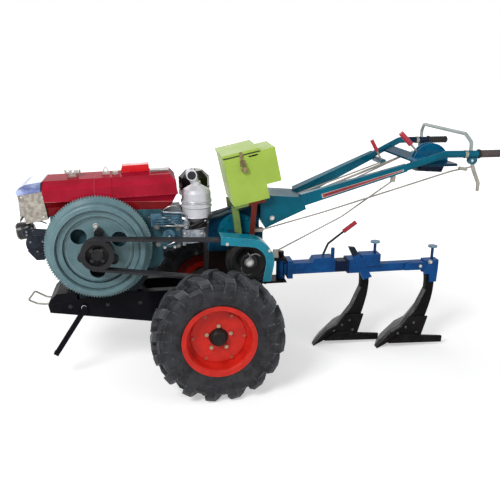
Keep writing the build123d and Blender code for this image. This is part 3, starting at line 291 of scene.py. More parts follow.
def finish(name, light, dark, rough, metal=0.0, coat=0.0, gloss=0.35, scale=8.0, grain=300.0, bump=0.1,
           rubbed_and_lit_tint=(0.3, 0.3, 0.3), rubbed_and_lit_share=0.3, reach=0.003, dust=0.08, dirt=(0.30, 0.27, 0.23), patches=(),
           ridges=()):
    """Paint, casting, rubber or bare metal from the shared effects. A patch is a region with its own
    colour, painted shade or painted highlight and, where given, its own metal value; a ridge is a
    region that stands out in relief. The edge tint is rubbed paint, and on some materials a painted
    highlight."""
    material = bpy.data.materials.new(name)
    material.use_nodes = True
    tree = material.node_tree
    shader = tree.nodes["Principled BSDF"]
    uneven = placed(tree, MOTTLE, Scale=scale, Grain=grain)
    edges = placed(tree, RUBBED_AND_LIT_EDGES, Reach=reach, Amount=rubbed_and_lit_share)
    powder = placed(tree, DUST, Amount=dust)
    tone = uneven.outputs["Tone"]
    colour = mixed(tree, tone, dark, light)
    gleam = metal
    for region, tint, *own_metal in patches:
        mask = region(tree)
        shade = mixed(tree, tone, tuple(PATCH_DARK * part for part in tint), tint)
        colour = mixed(tree, mask, colour, shade)
        if own_metal:
            gleam = between(tree, mask, gleam, own_metal[0])
    # Edge tint: rubbed paint, and on the tyre, the belt guard and the starter a painted highlight
    colour = mixed(tree, edges.outputs["Mask"], colour, rubbed_and_lit_tint)
    colour = mixed(tree, powder.outputs["Mask"], colour, dirt)
    tree.links.new(colour, shader.inputs["Base Color"])
    tree.links.new(between(tree, tone, *rough), shader.inputs["Roughness"])
    if isinstance(gleam, float):
        shader.inputs["Metallic"].default_value = gleam
    else:
        tree.links.new(gleam, shader.inputs["Metallic"])
    shader.inputs["Specular IOR Level"].default_value = gloss
    shader.inputs["Coat Weight"].default_value = coat
    shader.inputs["Coat Roughness"].default_value = COAT_ROUGH
    height = uneven.outputs["Height"]
    for region, rise in ridges:
        height = reckon(tree, "ADD", height, reckon(tree, "MULTIPLY", region(tree), rise))
    relief = node(tree, "Bump")
    relief.inputs["Strength"].default_value = bump
    relief.inputs["Distance"].default_value = RELIEF_DEPTH
    tree.links.new(height, relief.inputs["Height"])
    tree.links.new(relief.outputs["Normal"], shader.inputs["Normal"])
    MATERIALS[name] = material


# Regions of the nodes that carry more than one paint, painted shade or painted highlights

LID_UP = (math.sin(BOX_LEAN), 0.0, math.cos(BOX_LEAN))
LID_ALONG = (math.cos(BOX_LEAN), 0.0, -math.sin(BOX_LEAN))
BOX_ORIGIN = (BOX_CORNER[0], 0.0, BOX_CORNER[1])
# Painted shadow: a dark band on the box's sides just below the lid's edge, where the lid casts its shade
LID_SHADOW_STRIP = meet(slab(LID_UP, 0.2325, 0.2384, BOX_ORIGIN), slab(LID_ALONG, -0.1818, 0.01, BOX_ORIGIN))
# Painted shade along the lid's lower hem
LID_HEM_SHADE = slab(LID_UP, 0.2380, 0.2402, BOX_ORIGIN)
# Painted shade: the slot on the box's left side is a black patch
BOX_SLOT_SHADE = meet(slab(LID_ALONG, -0.168, -0.122, BOX_ORIGIN), slab(LID_UP, 0.218, 0.2255, BOX_ORIGIN),
                cell(y=(0.1495, 0.1505)))
REAR_POST = cell(x=(-0.280, -0.185))
ARM_ALONG = (-0.9047, 0.2721, 0.3275)
ARM_OUT = (0.288, 0.9577, 0.0)
ARM_UP = (0.3137, -0.0943, 0.9448)
ARM_START = (-0.440, 0.074, 0.884)
ARM_SIDE = slab(ARM_OUT, 0.014, 0.04, ARM_START)


def arm_band(low, high, first, last):
    """Strip on the near arm's outer side that narrows with the arm, from first to last along it."""
    foot = tuple(up - 0.0231 * along for up, along in zip(ARM_UP, ARM_ALONG))
    head = tuple(up + 0.0100 * along for up, along in zip(ARM_UP, ARM_ALONG))
    return meet(ARM_SIDE, slab(ARM_ALONG, first, last, ARM_START), slab(foot, low, 1.0, ARM_START),
                slab(head, -1.0, high, ARM_START))


ARM_STRIPE = arm_band(-0.0235, 0.0035, 0.135, 0.548)
ARM_STRIPE_FIELD = arm_band(-0.0213, 0.0013, 0.139, 0.544)
ARM_STRIPE_DARK = arm_band(-0.0150, -0.0050, 0.150, 0.36)
HOUSING = cell(x=(0.2835, 0.4305), y=(-0.113, -0.044), z=(1.0375, 1.08))
REAR_PLATE = cell(x=(0.189, 0.2825), y=(-0.064, -0.003))
CLUTCH_GRIP = slab((0.639, -0.0935, 0.6703), -0.070, 0.02, (-0.968, 0.100, 1.216))
SPEED_GRIP = meet(slab((0.4961, 0.0, 0.8682), -0.060, 0.02, (-0.902, -0.128, 1.152)), cell(z=(1.08, 1.2)))
PLOUGH_GRIP = meet(slab((-0.811, 0.0, 0.585), -0.086, 0.02, (-0.790, 0, 0.742)), cell(x=(-0.81, -0.70)))
PLOUGH_STEM = cell(x=(-0.722, -0.60), z=(0.578, 0.76))
BEAM_SLEEVE = cell(x=(-0.752, -0.676))
BEAM_BRACE_END = meet(slab((0.51, 0.0, 0.86), 0.0, 0.12, (-0.782, 0, 0.568)), cell(x=(-0.81, -0.72)))
SWITCH_BOX = cell(x=(-1.15, -0.99), y=(0.149, 0.237), z=(1.03, 1.0712))
# Painted shade: the inside of the guard round the clutch pulley is painted near black
GUARD_INSIDE_SHADE = meet(cell(y=(0.214, 0.2935)), drum(CLUTCH, 0.0, 0.1135))
GRIP_RING = cell(x=(-1.297, -1.287))
GEAR_BRACKET = cell(x=(-1.285, -1.238), z=(1.085, 1.13))
CROSS_PLATE = cell(z=(1.070, 1.084))
STEM_PLATE = cell(y=(-0.245, 0.088), z=(1.080, 1.113))
RIM_RINGS = ((drum(HUB, 0.1455, 0.1485), 0.6), (drum(HUB, 0.1605, 0.1635), 0.6),
             (drum(HUB, 0.0840, 0.0870), 0.5))
COVER_DOME = meet(cell(y=(0.066, 0.094), z=(0.739, 0.86)), drum(DOME, 0.0, 0.098))
ARM_BLACK = cell(x=(-1.288, -1.150), y=(-0.31, -0.24), z=(1.11, 1.17))
LAMP_FRONT = slab(LAMP_AXIS, 0.028, 0.06, LAMP)
HOOD_UP = (-0.0375, 0.0, 0.9993)
HOOD_SEAM = (0.770, 0, 0.9352)
# Painted highlight: a light line along the hood's seam
SEAM_HIGHLIGHT = meet(slab(HOOD_UP, -0.0012, 0.0012, HOOD_SEAM), cell(y=(0.06, 0.14)))
HOOD_LOWER = slab(HOOD_UP, -0.20, -0.0012, HOOD_SEAM)
NOSE_GAP = cell(x=(0.782, 0.7885))
FAR_SIDE = cell(y=(-0.31, -0.24))
SELECTOR_JOINT = cell(x=(-0.99, -0.95), y=(-0.26, -0.1175), z=(1.028, 1.053))
# Painted highlight: the hood's front joint is painted lighter
JOINT_FRONT_HIGHLIGHT = meet(cell(x=(0.5440, 0.5460)), cell(z=(0.94, 1.06)))
JOINT_REAR = meet(cell(x=(0.4620, 0.4640)), cell(z=(0.94, 1.06)))
GROOVE_OUT = meet(drum(CRANK, 0.1895, 0.1935), cell(y=(0.19, 0.23)))
GROOVE_IN = meet(drum(CRANK, 0.1615, 0.1650), cell(y=(0.17, 0.23)))
# Painted highlight: a light ring on the flywheel at the spokes
SPOKE_RING_HIGHLIGHT = meet(drum(CRANK, 0.150, 0.153), cell(y=(0.17, 0.20)))
SIDEWALL_RINGS = ((drum(HUB, 0.1865, 0.1895), 0.5), (drum(HUB, 0.205, 0.2075), 0.5),
                  (drum(HUB, 0.2275, 0.2295), 0.4))
# Painted highlight: the tyre's lug tops are painted lighter than the rest of the rubber
LUG_TOP_HIGHLIGHT = drum(HUB, 0.2955, 0.33)
# Painted shade: the crankcase is painted near black low down
ENGINE_LOW_SHADE = cell(z=(0.30, 0.585))
# Painted shade: the gearbox is painted near black low down
CASE_LOW_SHADE = cell(z=(0.20, 0.665))
# Painted shade: the cylinder head is painted near black low down
HEAD_LOW_SHADE = cell(z=(0.60, 0.700))
GEAR_TEETH_BAND = drum(CRANK, 0.2455, 0.26)
SCREW_DISC = meet(cell(x=(-0.94, -0.87)), cell(z=(0.622, 0.635)))
SCREW_DISC_REAR = meet(cell(x=(-1.28, -1.205)), cell(z=(0.576, 0.60)))
# Painted shade: the rims' inner parts, between the wheels, are painted dark red
RIM_INNER_SHADE = cell(y=(-0.362, 0.362))
WHEEL_NUTS = meet(drum(HUB, 0.047, 0.0745), cell(y=(0.4042, 0.425)))
WHEEL_NUTS_RIGHT = meet(drum(HUB, 0.047, 0.0745), cell(y=(-0.425, -0.4042)))

INK = (0.012, 0.012, 0.014)
BRIGHT_RED = (0.78, 0.012, 0.02)
GRIP_RED = (0.52, 0.035, 0.06)
NUT_BRASS = (0.46, 0.33, 0.22)
GROOVE_SHADE = (0.022, 0.045, 0.052)
DISC_BLUE = (0.13, 0.25, 0.36)

# Tyre: its lighter lug tops and lug edges are painted highlights
finish(
    "tyre_rubber", (0.034, 0.035, 0.040), (0.007, 0.007, 0.009), (0.38, 0.6), bump=0.5, scale=20.0,
    gloss=0.22, grain=420.0, rubbed_and_lit_tint=(0.16, 0.165, 0.18), rubbed_and_lit_share=1.0, reach=0.010, dust=0.03,
    patches=((LUG_TOP_HIGHLIGHT, (0.052, 0.054, 0.062)),), ridges=SIDEWALL_RINGS)
# Rims: their inner parts are painted dark as painted shade
finish(
    "wheel_red", (0.66, 0.022, 0.012), (0.50, 0.014, 0.008), (0.28, 0.45), coat=0.08, gloss=0.2, dust=0.03,
    scale=12.0, patches=((RIM_INNER_SHADE, (0.17, 0.008, 0.005)),), ridges=RIM_RINGS)
finish(
    "hub_black", (0.035, 0.026, 0.022), (0.012, 0.010, 0.010), (0.35, 0.55), gloss=0.1, dust=0.05,
    patches=((WHEEL_NUTS, NUT_BRASS, 0.5), (WHEEL_NUTS_RIGHT, NUT_BRASS, 0.5)))
finish(
    "bolt_red", (0.52, 0.10, 0.06), (0.30, 0.04, 0.02), (0.25, 0.4), gloss=0.3, metal=0.2, scale=60.0,
    rubbed_and_lit_tint=(0.75, 0.45, 0.38), rubbed_and_lit_share=0.9)
finish(
    "frame_black", (0.0065, 0.0065, 0.0095), (0.003, 0.003, 0.005), (0.3, 0.5), gloss=0.02, coat=0.06,
    rubbed_and_lit_share=0.5, rubbed_and_lit_tint=(0.06, 0.06, 0.07), dust=0.02)
finish("bolt_black", (0.03, 0.03, 0.033), (0.012, 0.012, 0.014), (0.3, 0.5), gloss=0.2, scale=60.0)
# Crankcase: near black low down, as painted shade
finish(
    "engine_grey", (0.045, 0.125, 0.155), (0.018, 0.055, 0.072), (0.42, 0.62), bump=0.4, gloss=0.15,
    grain=220.0, scale=14.0, rubbed_and_lit_tint=(0.25, 0.36, 0.40), rubbed_and_lit_share=0.6, dust=0.04,
    patches=((ENGINE_LOW_SHADE, (0.008, 0.014, 0.020)),))
# Cylinder head: near black low down, as painted shade
finish(
    "head_blue", (0.075, 0.17, 0.23), (0.022, 0.065, 0.11), (0.4, 0.6), bump=0.4, gloss=0.2, grain=220.0,
    scale=26.0, rubbed_and_lit_tint=(0.42, 0.52, 0.56), rubbed_and_lit_share=0.7, dust=0.04, patches=((HEAD_LOW_SHADE, (0.010, 0.018, 0.026)),))
finish(
    "cast_alloy", (0.46, 0.50, 0.55), (0.14, 0.17, 0.20), (0.3, 0.5), metal=0.5, bump=0.5, grain=260.0,
    scale=34.0, rubbed_and_lit_tint=(0.8, 0.82, 0.84), rubbed_and_lit_share=0.8)
finish(
    "exhaust_black", (0.04, 0.032, 0.026), (0.010, 0.009, 0.009), (0.6, 0.85), bump=0.4, gloss=0.1,
    rubbed_and_lit_tint=(0.16, 0.08, 0.05), scale=24.0)
finish(
    "silver_paint", (0.64, 0.64, 0.68), (0.52, 0.52, 0.56), (0.28, 0.42), metal=0.15, bump=0.08, rubbed_and_lit_share=0.25,
    rubbed_and_lit_tint=(0.8, 0.8, 0.84), dust=0.03)
finish(
    "black_plastic", (0.010, 0.010, 0.012), (0.004, 0.004, 0.005), (0.22, 0.4), gloss=0.3, coat=0.1,
    rubbed_and_lit_share=0.3, rubbed_and_lit_tint=(0.10, 0.10, 0.11), dust=0.02)
finish(
    "lamp_black", (0.010, 0.010, 0.012), (0.004, 0.004, 0.005), (0.22, 0.4), gloss=0.3, coat=0.1, dust=0.02,
    patches=((LAMP_FRONT, (0.03, 0.03, 0.032)),))
finish(
    "radiator_grey", (0.50, 0.46, 0.40), (0.24, 0.21, 0.18), (0.5, 0.75), bump=0.35, gloss=0.2, scale=48.0,
    rubbed_and_lit_tint=(0.60, 0.58, 0.54), dirt=(0.14, 0.12, 0.10), dust=0.5)
finish(
    "chrome_blue", (0.42, 0.50, 0.72), (0.13, 0.16, 0.36), (0.10, 0.22), metal=0.9, bump=0.03, scale=13.0,
    patches=((NOSE_GAP, (0.02, 0.02, 0.025), 0.0),))
# Hood: the light seam line and the light front joint are painted highlights
finish(
    "hood_red", (0.40, 0.010, 0.032), (0.30, 0.006, 0.020), (0.2, 0.3), coat=0.14, gloss=0.0, bump=0.03,
    rubbed_and_lit_share=0.25, reach=0.006, rubbed_and_lit_tint=(0.62, 0.10, 0.16), dust=0.0,
    patches=((HOOD_LOWER, (0.21, 0.005, 0.008)), (SEAM_HIGHLIGHT, (0.60, 0.13, 0.13)),
             (JOINT_FRONT_HIGHLIGHT, (0.50, 0.08, 0.11)), (JOINT_REAR, (0.12, 0.004, 0.01))))
finish(
    "fitting_steel", (0.60, 0.57, 0.53), (0.36, 0.34, 0.31), (0.2, 0.38), metal=0.85, bump=0.12,
    patches=((HOUSING, BRIGHT_RED, 0.0), (REAR_PLATE, (0.26, 0.24, 0.23), 0.2)))
finish(
    "starter_black", (0.022, 0.028, 0.040), (0.007, 0.009, 0.014), (0.25, 0.4), gloss=0.1, scale=30.0,
    rubbed_and_lit_tint=(0.16, 0.18, 0.22), rubbed_and_lit_share=0.8, reach=0.005, dust=0.02)
finish(
    "rod_steel", (0.36, 0.34, 0.30), (0.21, 0.20, 0.175), (0.35, 0.5), metal=0.5, bump=0.12,
    patches=((GEAR_BRACKET, (0.001, 0.10, 0.16), 0.0),))
# Flywheel: the light ring at the spokes is a painted highlight
finish(
    "flywheel_green", (0.125, 0.215, 0.235), (0.078, 0.150, 0.172), (0.3, 0.45), coat=0.05, gloss=0.3,
    bump=0.14, rubbed_and_lit_share=0.7, rubbed_and_lit_tint=(0.36, 0.50, 0.52), scale=7.0, reach=0.004, dust=0.02,
    patches=((GROOVE_OUT, GROOVE_SHADE), (GROOVE_IN, GROOVE_SHADE), (SPOKE_RING_HIGHLIGHT, (0.24, 0.38, 0.40)),
             (GEAR_TEETH_BAND, (0.135, 0.235, 0.25), 0.1)))
finish(
    "pulley_iron", (0.016, 0.016, 0.018), (0.006, 0.006, 0.007), (0.3, 0.5), bump=0.2, gloss=0.2,
    rubbed_and_lit_tint=(0.20, 0.20, 0.21), rubbed_and_lit_share=0.6, dust=0.02)
finish(
    "belt_rubber", (0.030, 0.030, 0.034), (0.014, 0.014, 0.017), (0.4, 0.6), bump=0.3, dust=0.03, gloss=0.2,
    rubbed_and_lit_tint=(0.12, 0.12, 0.13))
finish(
    "teal_paint", (0.0008, 0.115, 0.175), (0.0004, 0.080, 0.128), (0.24, 0.38), coat=0.10, gloss=0.04,
    bump=0.05, rubbed_and_lit_tint=(0.12, 0.36, 0.44), rubbed_and_lit_share=0.5, dust=0.02)
# Belt guard: its bright edge tint is a painted highlight, and its darker inside is painted shade
finish(
    "guard_teal", (0.003, 0.225, 0.320), (0.001, 0.160, 0.240), (0.2, 0.34), coat=0.08, gloss=0.2,
    bump=0.05, rubbed_and_lit_tint=(0.2, 0.60, 0.70), rubbed_and_lit_share=0.8, reach=0.005, dust=0.02,
    patches=((GUARD_INSIDE_SHADE, (0.002, 0.030, 0.045)),))
finish(
    "arm_teal", (0.001, 0.130, 0.200), (0.0005, 0.092, 0.150), (0.24, 0.38), coat=0.10, gloss=0.04,
    bump=0.05, rubbed_and_lit_tint=(0.12, 0.36, 0.44), rubbed_and_lit_share=0.5, dust=0.02,
    patches=((ARM_STRIPE, (0.60, 0.56, 0.55)), (ARM_STRIPE_FIELD, (0.42, 0.07, 0.07)),
             (ARM_STRIPE_DARK, (0.07, 0.02, 0.05)), (ARM_BLACK, (0.003, 0.018, 0.05))))
finish(
    "quadrant_teal", (0.0015, 0.125, 0.255), (0.001, 0.085, 0.185), (0.24, 0.38), coat=0.10, gloss=0.04,
    bump=0.05, dust=0.02, rubbed_and_lit_share=0.5, rubbed_and_lit_tint=(0.12, 0.36, 0.48),
    patches=((CROSS_PLATE, (0.001, 0.040, 0.085)), (STEM_PLATE, (0.001, 0.060, 0.120)),
             (SWITCH_BOX, (0.002, 0.006, 0.022))))
# Gearbox: near black low down, as painted shade
finish(
    "case_teal", (0.005, 0.060, 0.115), (0.003, 0.026, 0.056), (0.4, 0.6), bump=0.4, grain=220.0,
    gloss=0.03, rubbed_and_lit_tint=(0.10, 0.25, 0.33), rubbed_and_lit_share=0.4, dust=0.02,
    patches=((COVER_DOME, (0.003, 0.13, 0.21)), (CASE_LOW_SHADE, (0.012, 0.008, 0.007))))
finish(
    "grip_grey", (0.105, 0.080, 0.080), (0.045, 0.038, 0.038), (0.5, 0.7), bump=0.3, gloss=0.2,
    patches=((GRIP_RING, INK), (FAR_SIDE, (0.020, 0.020, 0.022))))
finish("hoop_grey", (0.40, 0.45, 0.45), (0.30, 0.35, 0.35), (0.3, 0.42), bump=0.05)
# Tool box: the dark band under the lid is a painted shadow, and the black slot is painted shade
finish(
    "green_paint", (0.375, 0.525, 0.085), (0.325, 0.470, 0.070), (0.38, 0.52), gloss=0.2, bump=0.05,
    rubbed_and_lit_share=0.3, rubbed_and_lit_tint=(0.55, 0.68, 0.25), dust=0.02,
    patches=((LID_SHADOW_STRIP, (0.035, 0.055, 0.012)), (BOX_SLOT_SHADE, INK)))
# Lid: its lower hem is painted darker as painted shade
finish(
    "lid_green", (0.375, 0.525, 0.085), (0.325, 0.470, 0.070), (0.38, 0.52), gloss=0.2, bump=0.05, rubbed_and_lit_share=0.4,
    rubbed_and_lit_tint=(0.58, 0.70, 0.30), dust=0.02, patches=((LID_HEM_SHADE, (0.05, 0.08, 0.02)),))
finish(
    "leg_green", (0.20, 0.30, 0.085), (0.13, 0.20, 0.06), (0.4, 0.55), bump=0.08, gloss=0.15,
    patches=((REAR_POST, (0.135, 0.018, 0.010)),))
finish(
    "blue_paint", (0.005, 0.080, 0.270), (0.003, 0.046, 0.170), (0.3, 0.45), coat=0.10, gloss=0.04,
    bump=0.1, rubbed_and_lit_tint=(0.06, 0.22, 0.50), rubbed_and_lit_share=0.6, reach=0.004, dust=0.02,
    patches=((BEAM_SLEEVE, (0.002, 0.010, 0.045)), (BEAM_BRACE_END, (0.012, 0.018, 0.028))))
finish(
    "control_blue", (0.003, 0.036, 0.15), (0.002, 0.020, 0.09), (0.3, 0.45), bump=0.1, gloss=0.2,
    patches=((SCREW_DISC, DISC_BLUE, 0.3), (SCREW_DISC_REAR, DISC_BLUE, 0.3),
             (PLOUGH_STEM, (0.018, 0.014, 0.018)), (PLOUGH_GRIP, GRIP_RED)))
finish(
    "share_black", (0.0085, 0.0075, 0.0075), (0.0035, 0.0035, 0.004), (0.36, 0.55), bump=0.25, gloss=0.03,
    coat=0.05, rubbed_and_lit_tint=(0.13, 0.13, 0.14), rubbed_and_lit_share=0.6, dust=0.03)
finish(
    "board_steel", (0.085, 0.080, 0.080), (0.022, 0.021, 0.022), (0.35, 0.6), metal=0.4, bump=0.4,
    gloss=0.2, scale=30.0, rubbed_and_lit_tint=(0.4, 0.4, 0.4), rubbed_and_lit_share=0.8, reach=0.005, dust=0.05)
finish(
    "clutch_red", (0.42, 0.41, 0.38), (0.24, 0.23, 0.22), (0.25, 0.4), metal=0.4, bump=0.05,
    patches=((CLUTCH_GRIP, GRIP_RED, 0.0),))
finish(
    "speed_red", (0.40, 0.37, 0.31), (0.26, 0.23, 0.19), (0.3, 0.45), metal=0.3, bump=0.05,
    patches=((SPEED_GRIP, GRIP_RED, 0.0), (SELECTOR_JOINT, (0.002, 0.08, 0.13), 0.0)))
finish("zinc", (0.58, 0.57, 0.55), (0.34, 0.33, 0.32), (0.22, 0.4), metal=0.85, bump=0.15, scale=60.0)
finish("dull_steel", (0.22, 0.22, 0.22), (0.10, 0.10, 0.10), (0.3, 0.45), metal=0.7, bump=0.15, scale=60.0)
finish("lock_brass", (0.30, 0.24, 0.11), (0.12, 0.10, 0.05), (0.25, 0.45), metal=0.7, bump=0.15, scale=90.0)
finish("hose_rubber", (0.012, 0.012, 0.013), (0.006, 0.006, 0.007), (0.35, 0.5), gloss=0.3, bump=0.2)
finish(
    "lamp_glass", (0.60, 0.62, 0.64), (0.45, 0.47, 0.50), (0.05, 0.12), gloss=0.6, coat=0.6, bump=0.3,
    scale=40.0)
finish("fin_grey", (0.20, 0.19, 0.18), (0.09, 0.085, 0.08), (0.45, 0.6), metal=0.3, bump=0.3)

# Nodes of the frame that each material is put on
PAINTED = {
    "tyre_rubber": "tyre_left tyre_right", "wheel_red": "rim_left rim_right",
    "hub_black": "hub_left hub_right", "frame_black": "chassis_frame front_stand front_bracket hitch",
    "rod_steel": "front_loop steering_gear", "engine_grey": "engine_block", "head_blue": "cylinder_head",
    "cast_alloy": "rocker_cover", "exhaust_black": "exhaust_manifold", "silver_paint": "muffler",
    "black_plastic": "air_filter", "radiator_grey": "radiator", "chrome_blue": "nose_cover",
    "hood_red": "hood", "fitting_steel": "hood_fittings", "starter_black": "starter_motor",
    "lamp_black": "headlamp", "flywheel_green": "flywheel", "pulley_iron": "crank_pulley clutch_pulley",
    "belt_rubber": "belts", "guard_teal": "belt_guard", "case_teal": "gearbox", "teal_paint": "handle_base",
    "arm_teal": "handle_arms", "grip_grey": "grips", "hoop_grey": "cross_hoop", "quadrant_teal": "quadrant",
    "clutch_red": "clutch_lever", "speed_red": "speed_lever", "green_paint": "toolbox_body",
    "lid_green": "toolbox_lid", "leg_green": "toolbox_leg", "blue_paint": "plough_beam",
    "share_black": "plough_shanks plough_shares", "board_steel": "moldboards",
    "control_blue": "plough_controls",
}
for material, names in PAINTED.items():
    for name in names.split():
        slots = NODES[name].data.materials
        slots.clear()
        slots.append(MATERIALS[material])

# Shapes worked out as grids of points. Each gives (points, faces) in metres from the axle.

LEFT, RIGHT, UP, FRONT = (0, 1, 0), (0, -1, 0), (0, 0, 1), (1, 0, 0)
SHARP_FROM = math.radians(35)
WASHER_HIGH = 0.0018
# Washer's radius and the head's upper edges, as parts of the head's own measures
WASHER_REACH, EDGE_START, TOP_REACH = 0.68, 0.8, 0.86


def unit(vector):
    """Vector of length one."""
    return np.asarray(vector, float) / np.linalg.norm(vector)


def tube_faces(rows, sides, looped):
    """Four-cornered faces between neighbouring rows of a closed ring; flat ends unless looped."""
    row = np.arange(rows if looped else rows - 1)[:, None]
    step = np.arange(sides)[None, :]
    after, beyond = (step + 1) % sides, (row + 1) % rows
    corners = (row * sides + step, row * sides + after, beyond * sides + after, beyond * sides + step)
    faces = np.stack(corners, -1).reshape(-1, 4).tolist()
    if not looped:
        faces.append(list(range(sides))[::-1])
        faces.append(list(range((rows - 1) * sides, rows * sides)))
    return faces


def turned(profile, start, axis, sides=24, ripple=None, looped=False):
    """Surface of revolution: start + along * axis + radius * ripple(a) * (cos a, sin a) across it.
    A looped profile runs out on the outside, back on the inside, and closes on itself."""
    along, radius = np.array(profile, float).T
    angle = np.linspace(0, 2 * np.pi, sides, endpoint=False)
    axis = unit(axis)
    across = unit(np.cross(axis, UP if abs(axis[2]) < 0.9 else FRONT))
    spokes = np.cos(angle)[:, None] * across + np.sin(angle)[:, None] * np.cross(axis, across)
    if ripple is not None:
        spokes = spokes * ripple(angle)[:, None]
    points = np.asarray(start) + along[:, None, None] * axis + radius[:, None, None] * spokes[None]
    return points.reshape(-1, 3), tube_faces(len(along), sides, looped)


def smooth_path(knots, per=8):
    """Curve through all the knots: the cubic b + (c-a)t/2 + ... of Catmull and Rom between each pair."""
    knots = np.array(knots, float)
    ends = np.vstack([2 * knots[0] - knots[1], knots, 2 * knots[-1] - knots[-2]])
    t = np.linspace(0, 1, per, endpoint=False)[None, :, None]
    a, b, c, d = ends[:-3, None], ends[1:-2, None], ends[2:-1, None], ends[3:, None]
    curve = b + (c - a) * t / 2 + (2 * a - 5 * b + 4 * c - d) * t**2 / 2 + (3 * b - a - 3 * c + d) * t**3 / 2
    return np.vstack([curve.reshape(-1, 3), knots[-1]])


def carried(knots, radius, sides=10, per=8, level=LEFT):
    """Circle carried along a smooth path: path + radius * (cos a * side + sin a * up)."""
    path = smooth_path(knots, per)
    ahead = np.gradient(path, axis=0)
    ahead /= np.linalg.norm(ahead, axis=1)[:, None]
    side = np.cross(ahead, level)
    side /= np.linalg.norm(side, axis=1)[:, None]
    up = np.cross(ahead, side)
    angle = np.linspace(0, 2 * np.pi, sides, endpoint=False)[None, :, None]
    points = path[:, None] + radius * (np.cos(angle) * side[:, None] + np.sin(angle) * up[:, None])
    return points.reshape(-1, 3), tube_faces(len(path), sides, False)


def flat(outline, thickness, start, right, up):
    """Flat outline carried straight along its own normal, right x up, by a thickness."""
    right, up = unit(right), unit(up)
    ring = np.asarray(start) + np.array(outline, float) @ np.stack([right, up])
    points = np.vstack([ring, ring + thickness * np.cross(right, up)])
    return points, tube_faces(2, len(outline), False)


def oblong(wide, high):
    """Outline of a rectangle round its own middle, from its half width and half height."""
    return [(-wide, -high), (wide, -high), (wide, high), (-wide, high)]


def arc_strip(centre, inner, outer, first, last, thickness, y, count=12):
    """Flat curved bar facing left: both edges are arcs round (x, z), from first to last degrees."""
    angle = np.radians(np.linspace(first, last, count))
    edge = np.stack([-np.cos(angle), np.sin(angle)], -1)
    outline = np.vstack([edge * inner, edge[::-1] * outer])
    return flat(outline, thickness, (centre[0], y, centre[1]), (-1, 0, 0), UP)


def hex_head(start, axis, flats=0.017, high=0.007, washer=True):
    """Six-sided head on a round washer; the head is a turned profile of six sides with a cut rim."""
    wide = flats / math.sqrt(3)
    lift = WASHER_HIGH if washer else 0.0
    foot = np.asarray(start) + unit(axis) * lift
    head = turned([(0, wide), (high * EDGE_START, wide), (high, wide * TOP_REACH)], foot, axis, 6)
    if not washer:
        return [head]
    reach = flats * WASHER_REACH
    return [turned([(0, reach), (lift, reach)], start, axis, 16), head]


def heads(places, axis, *size):
    """Hex heads of one size at several places, all along one axis."""
    return [shape for place in places for shape in hex_head(place, axis, *size)]


def at_side(y, *spots):
    """Places at one y from their (x, z)."""
    return [(x, y, z) for x, z in spots]


def ring_points(centre, radius, count, y, first=0.0):
    """Places evenly round (x, z) at one y."""
    angle = np.radians(first) + 2 * np.pi * np.arange(count) / count
    x, z = centre[0] + radius * np.cos(angle), centre[1] + radius * np.sin(angle)
    return np.stack([x, np.full(count, y), z], -1)


def on_box(xp, y, h):
    """Place of a point given in the leaning tool box's own length, width and height."""
    x = BOX_CORNER[0] + xp * math.cos(BOX_LEAN) + h * math.sin(BOX_LEAN)
    z = BOX_CORNER[1] - xp * math.sin(BOX_LEAN) + h * math.cos(BOX_LEAN)
    return (x, y, z)


def piece(name, body, material, shapes, bevel=0.0):
    """One object from several shapes, on a body, with sharp edges kept and the rest smooth, and one slot
    that holds the named material."""
    points, faces, shift = [], [], 0
    for places, corners in shapes:
        points.append(places)
        faces += [[shift + corner for corner in face] for face in corners]
        shift += len(places)
    mesh = bpy.data.meshes.new(name)
    mesh.from_pydata((np.vstack(points) + (AXLE, 0, 0)).tolist(), [], faces)
    mesh.shade_smooth()
    mesh.set_sharp_from_angle(angle=SHARP_FROM)
    mesh.materials.append(MATERIALS[material])
    made = linked(name, mesh)
    if bevel:
        rounding = made.modifiers.new("edges", "BEVEL")
        rounding.width = bevel
        rounding.segments = 2
        rounding.limit_method = "ANGLE"
    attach(made, body)


# Wheels


def wheel_bolts(side, body, name):
    """Six hex heads on the rim's disc, and the valve stem beside them."""
    shapes = heads(ring_points(HUB, 0.122, 6, side * 0.401), LEFT if side > 0 else RIGHT, 0.017, 0.007)
    stem = (0.058, side * 0.398, HUB_Z + 0.130)
    shapes.append(turned([(0, 0.004), (0.012, 0.004), (0.012, 0.0052), (0.030, 0.0052), (0.032, 0.003)],
                         stem, (0.1, side * 0.9, -0.2), 12))
    piece(name, body, "bolt_red", shapes)


# Engine

MUFFLER = (0.062, 0.052)
FILTER = (0.058, -0.122)
STARTER = (0.826, 0.732)
# How far the crankcase's side lies inside the widest part of its right side
CASE_INSET = 0.0215


def knurled(angle):
    """Radius factor of a knurled edge, 24 flutes."""
    return 1 + 0.028 * np.cos(24 * angle)


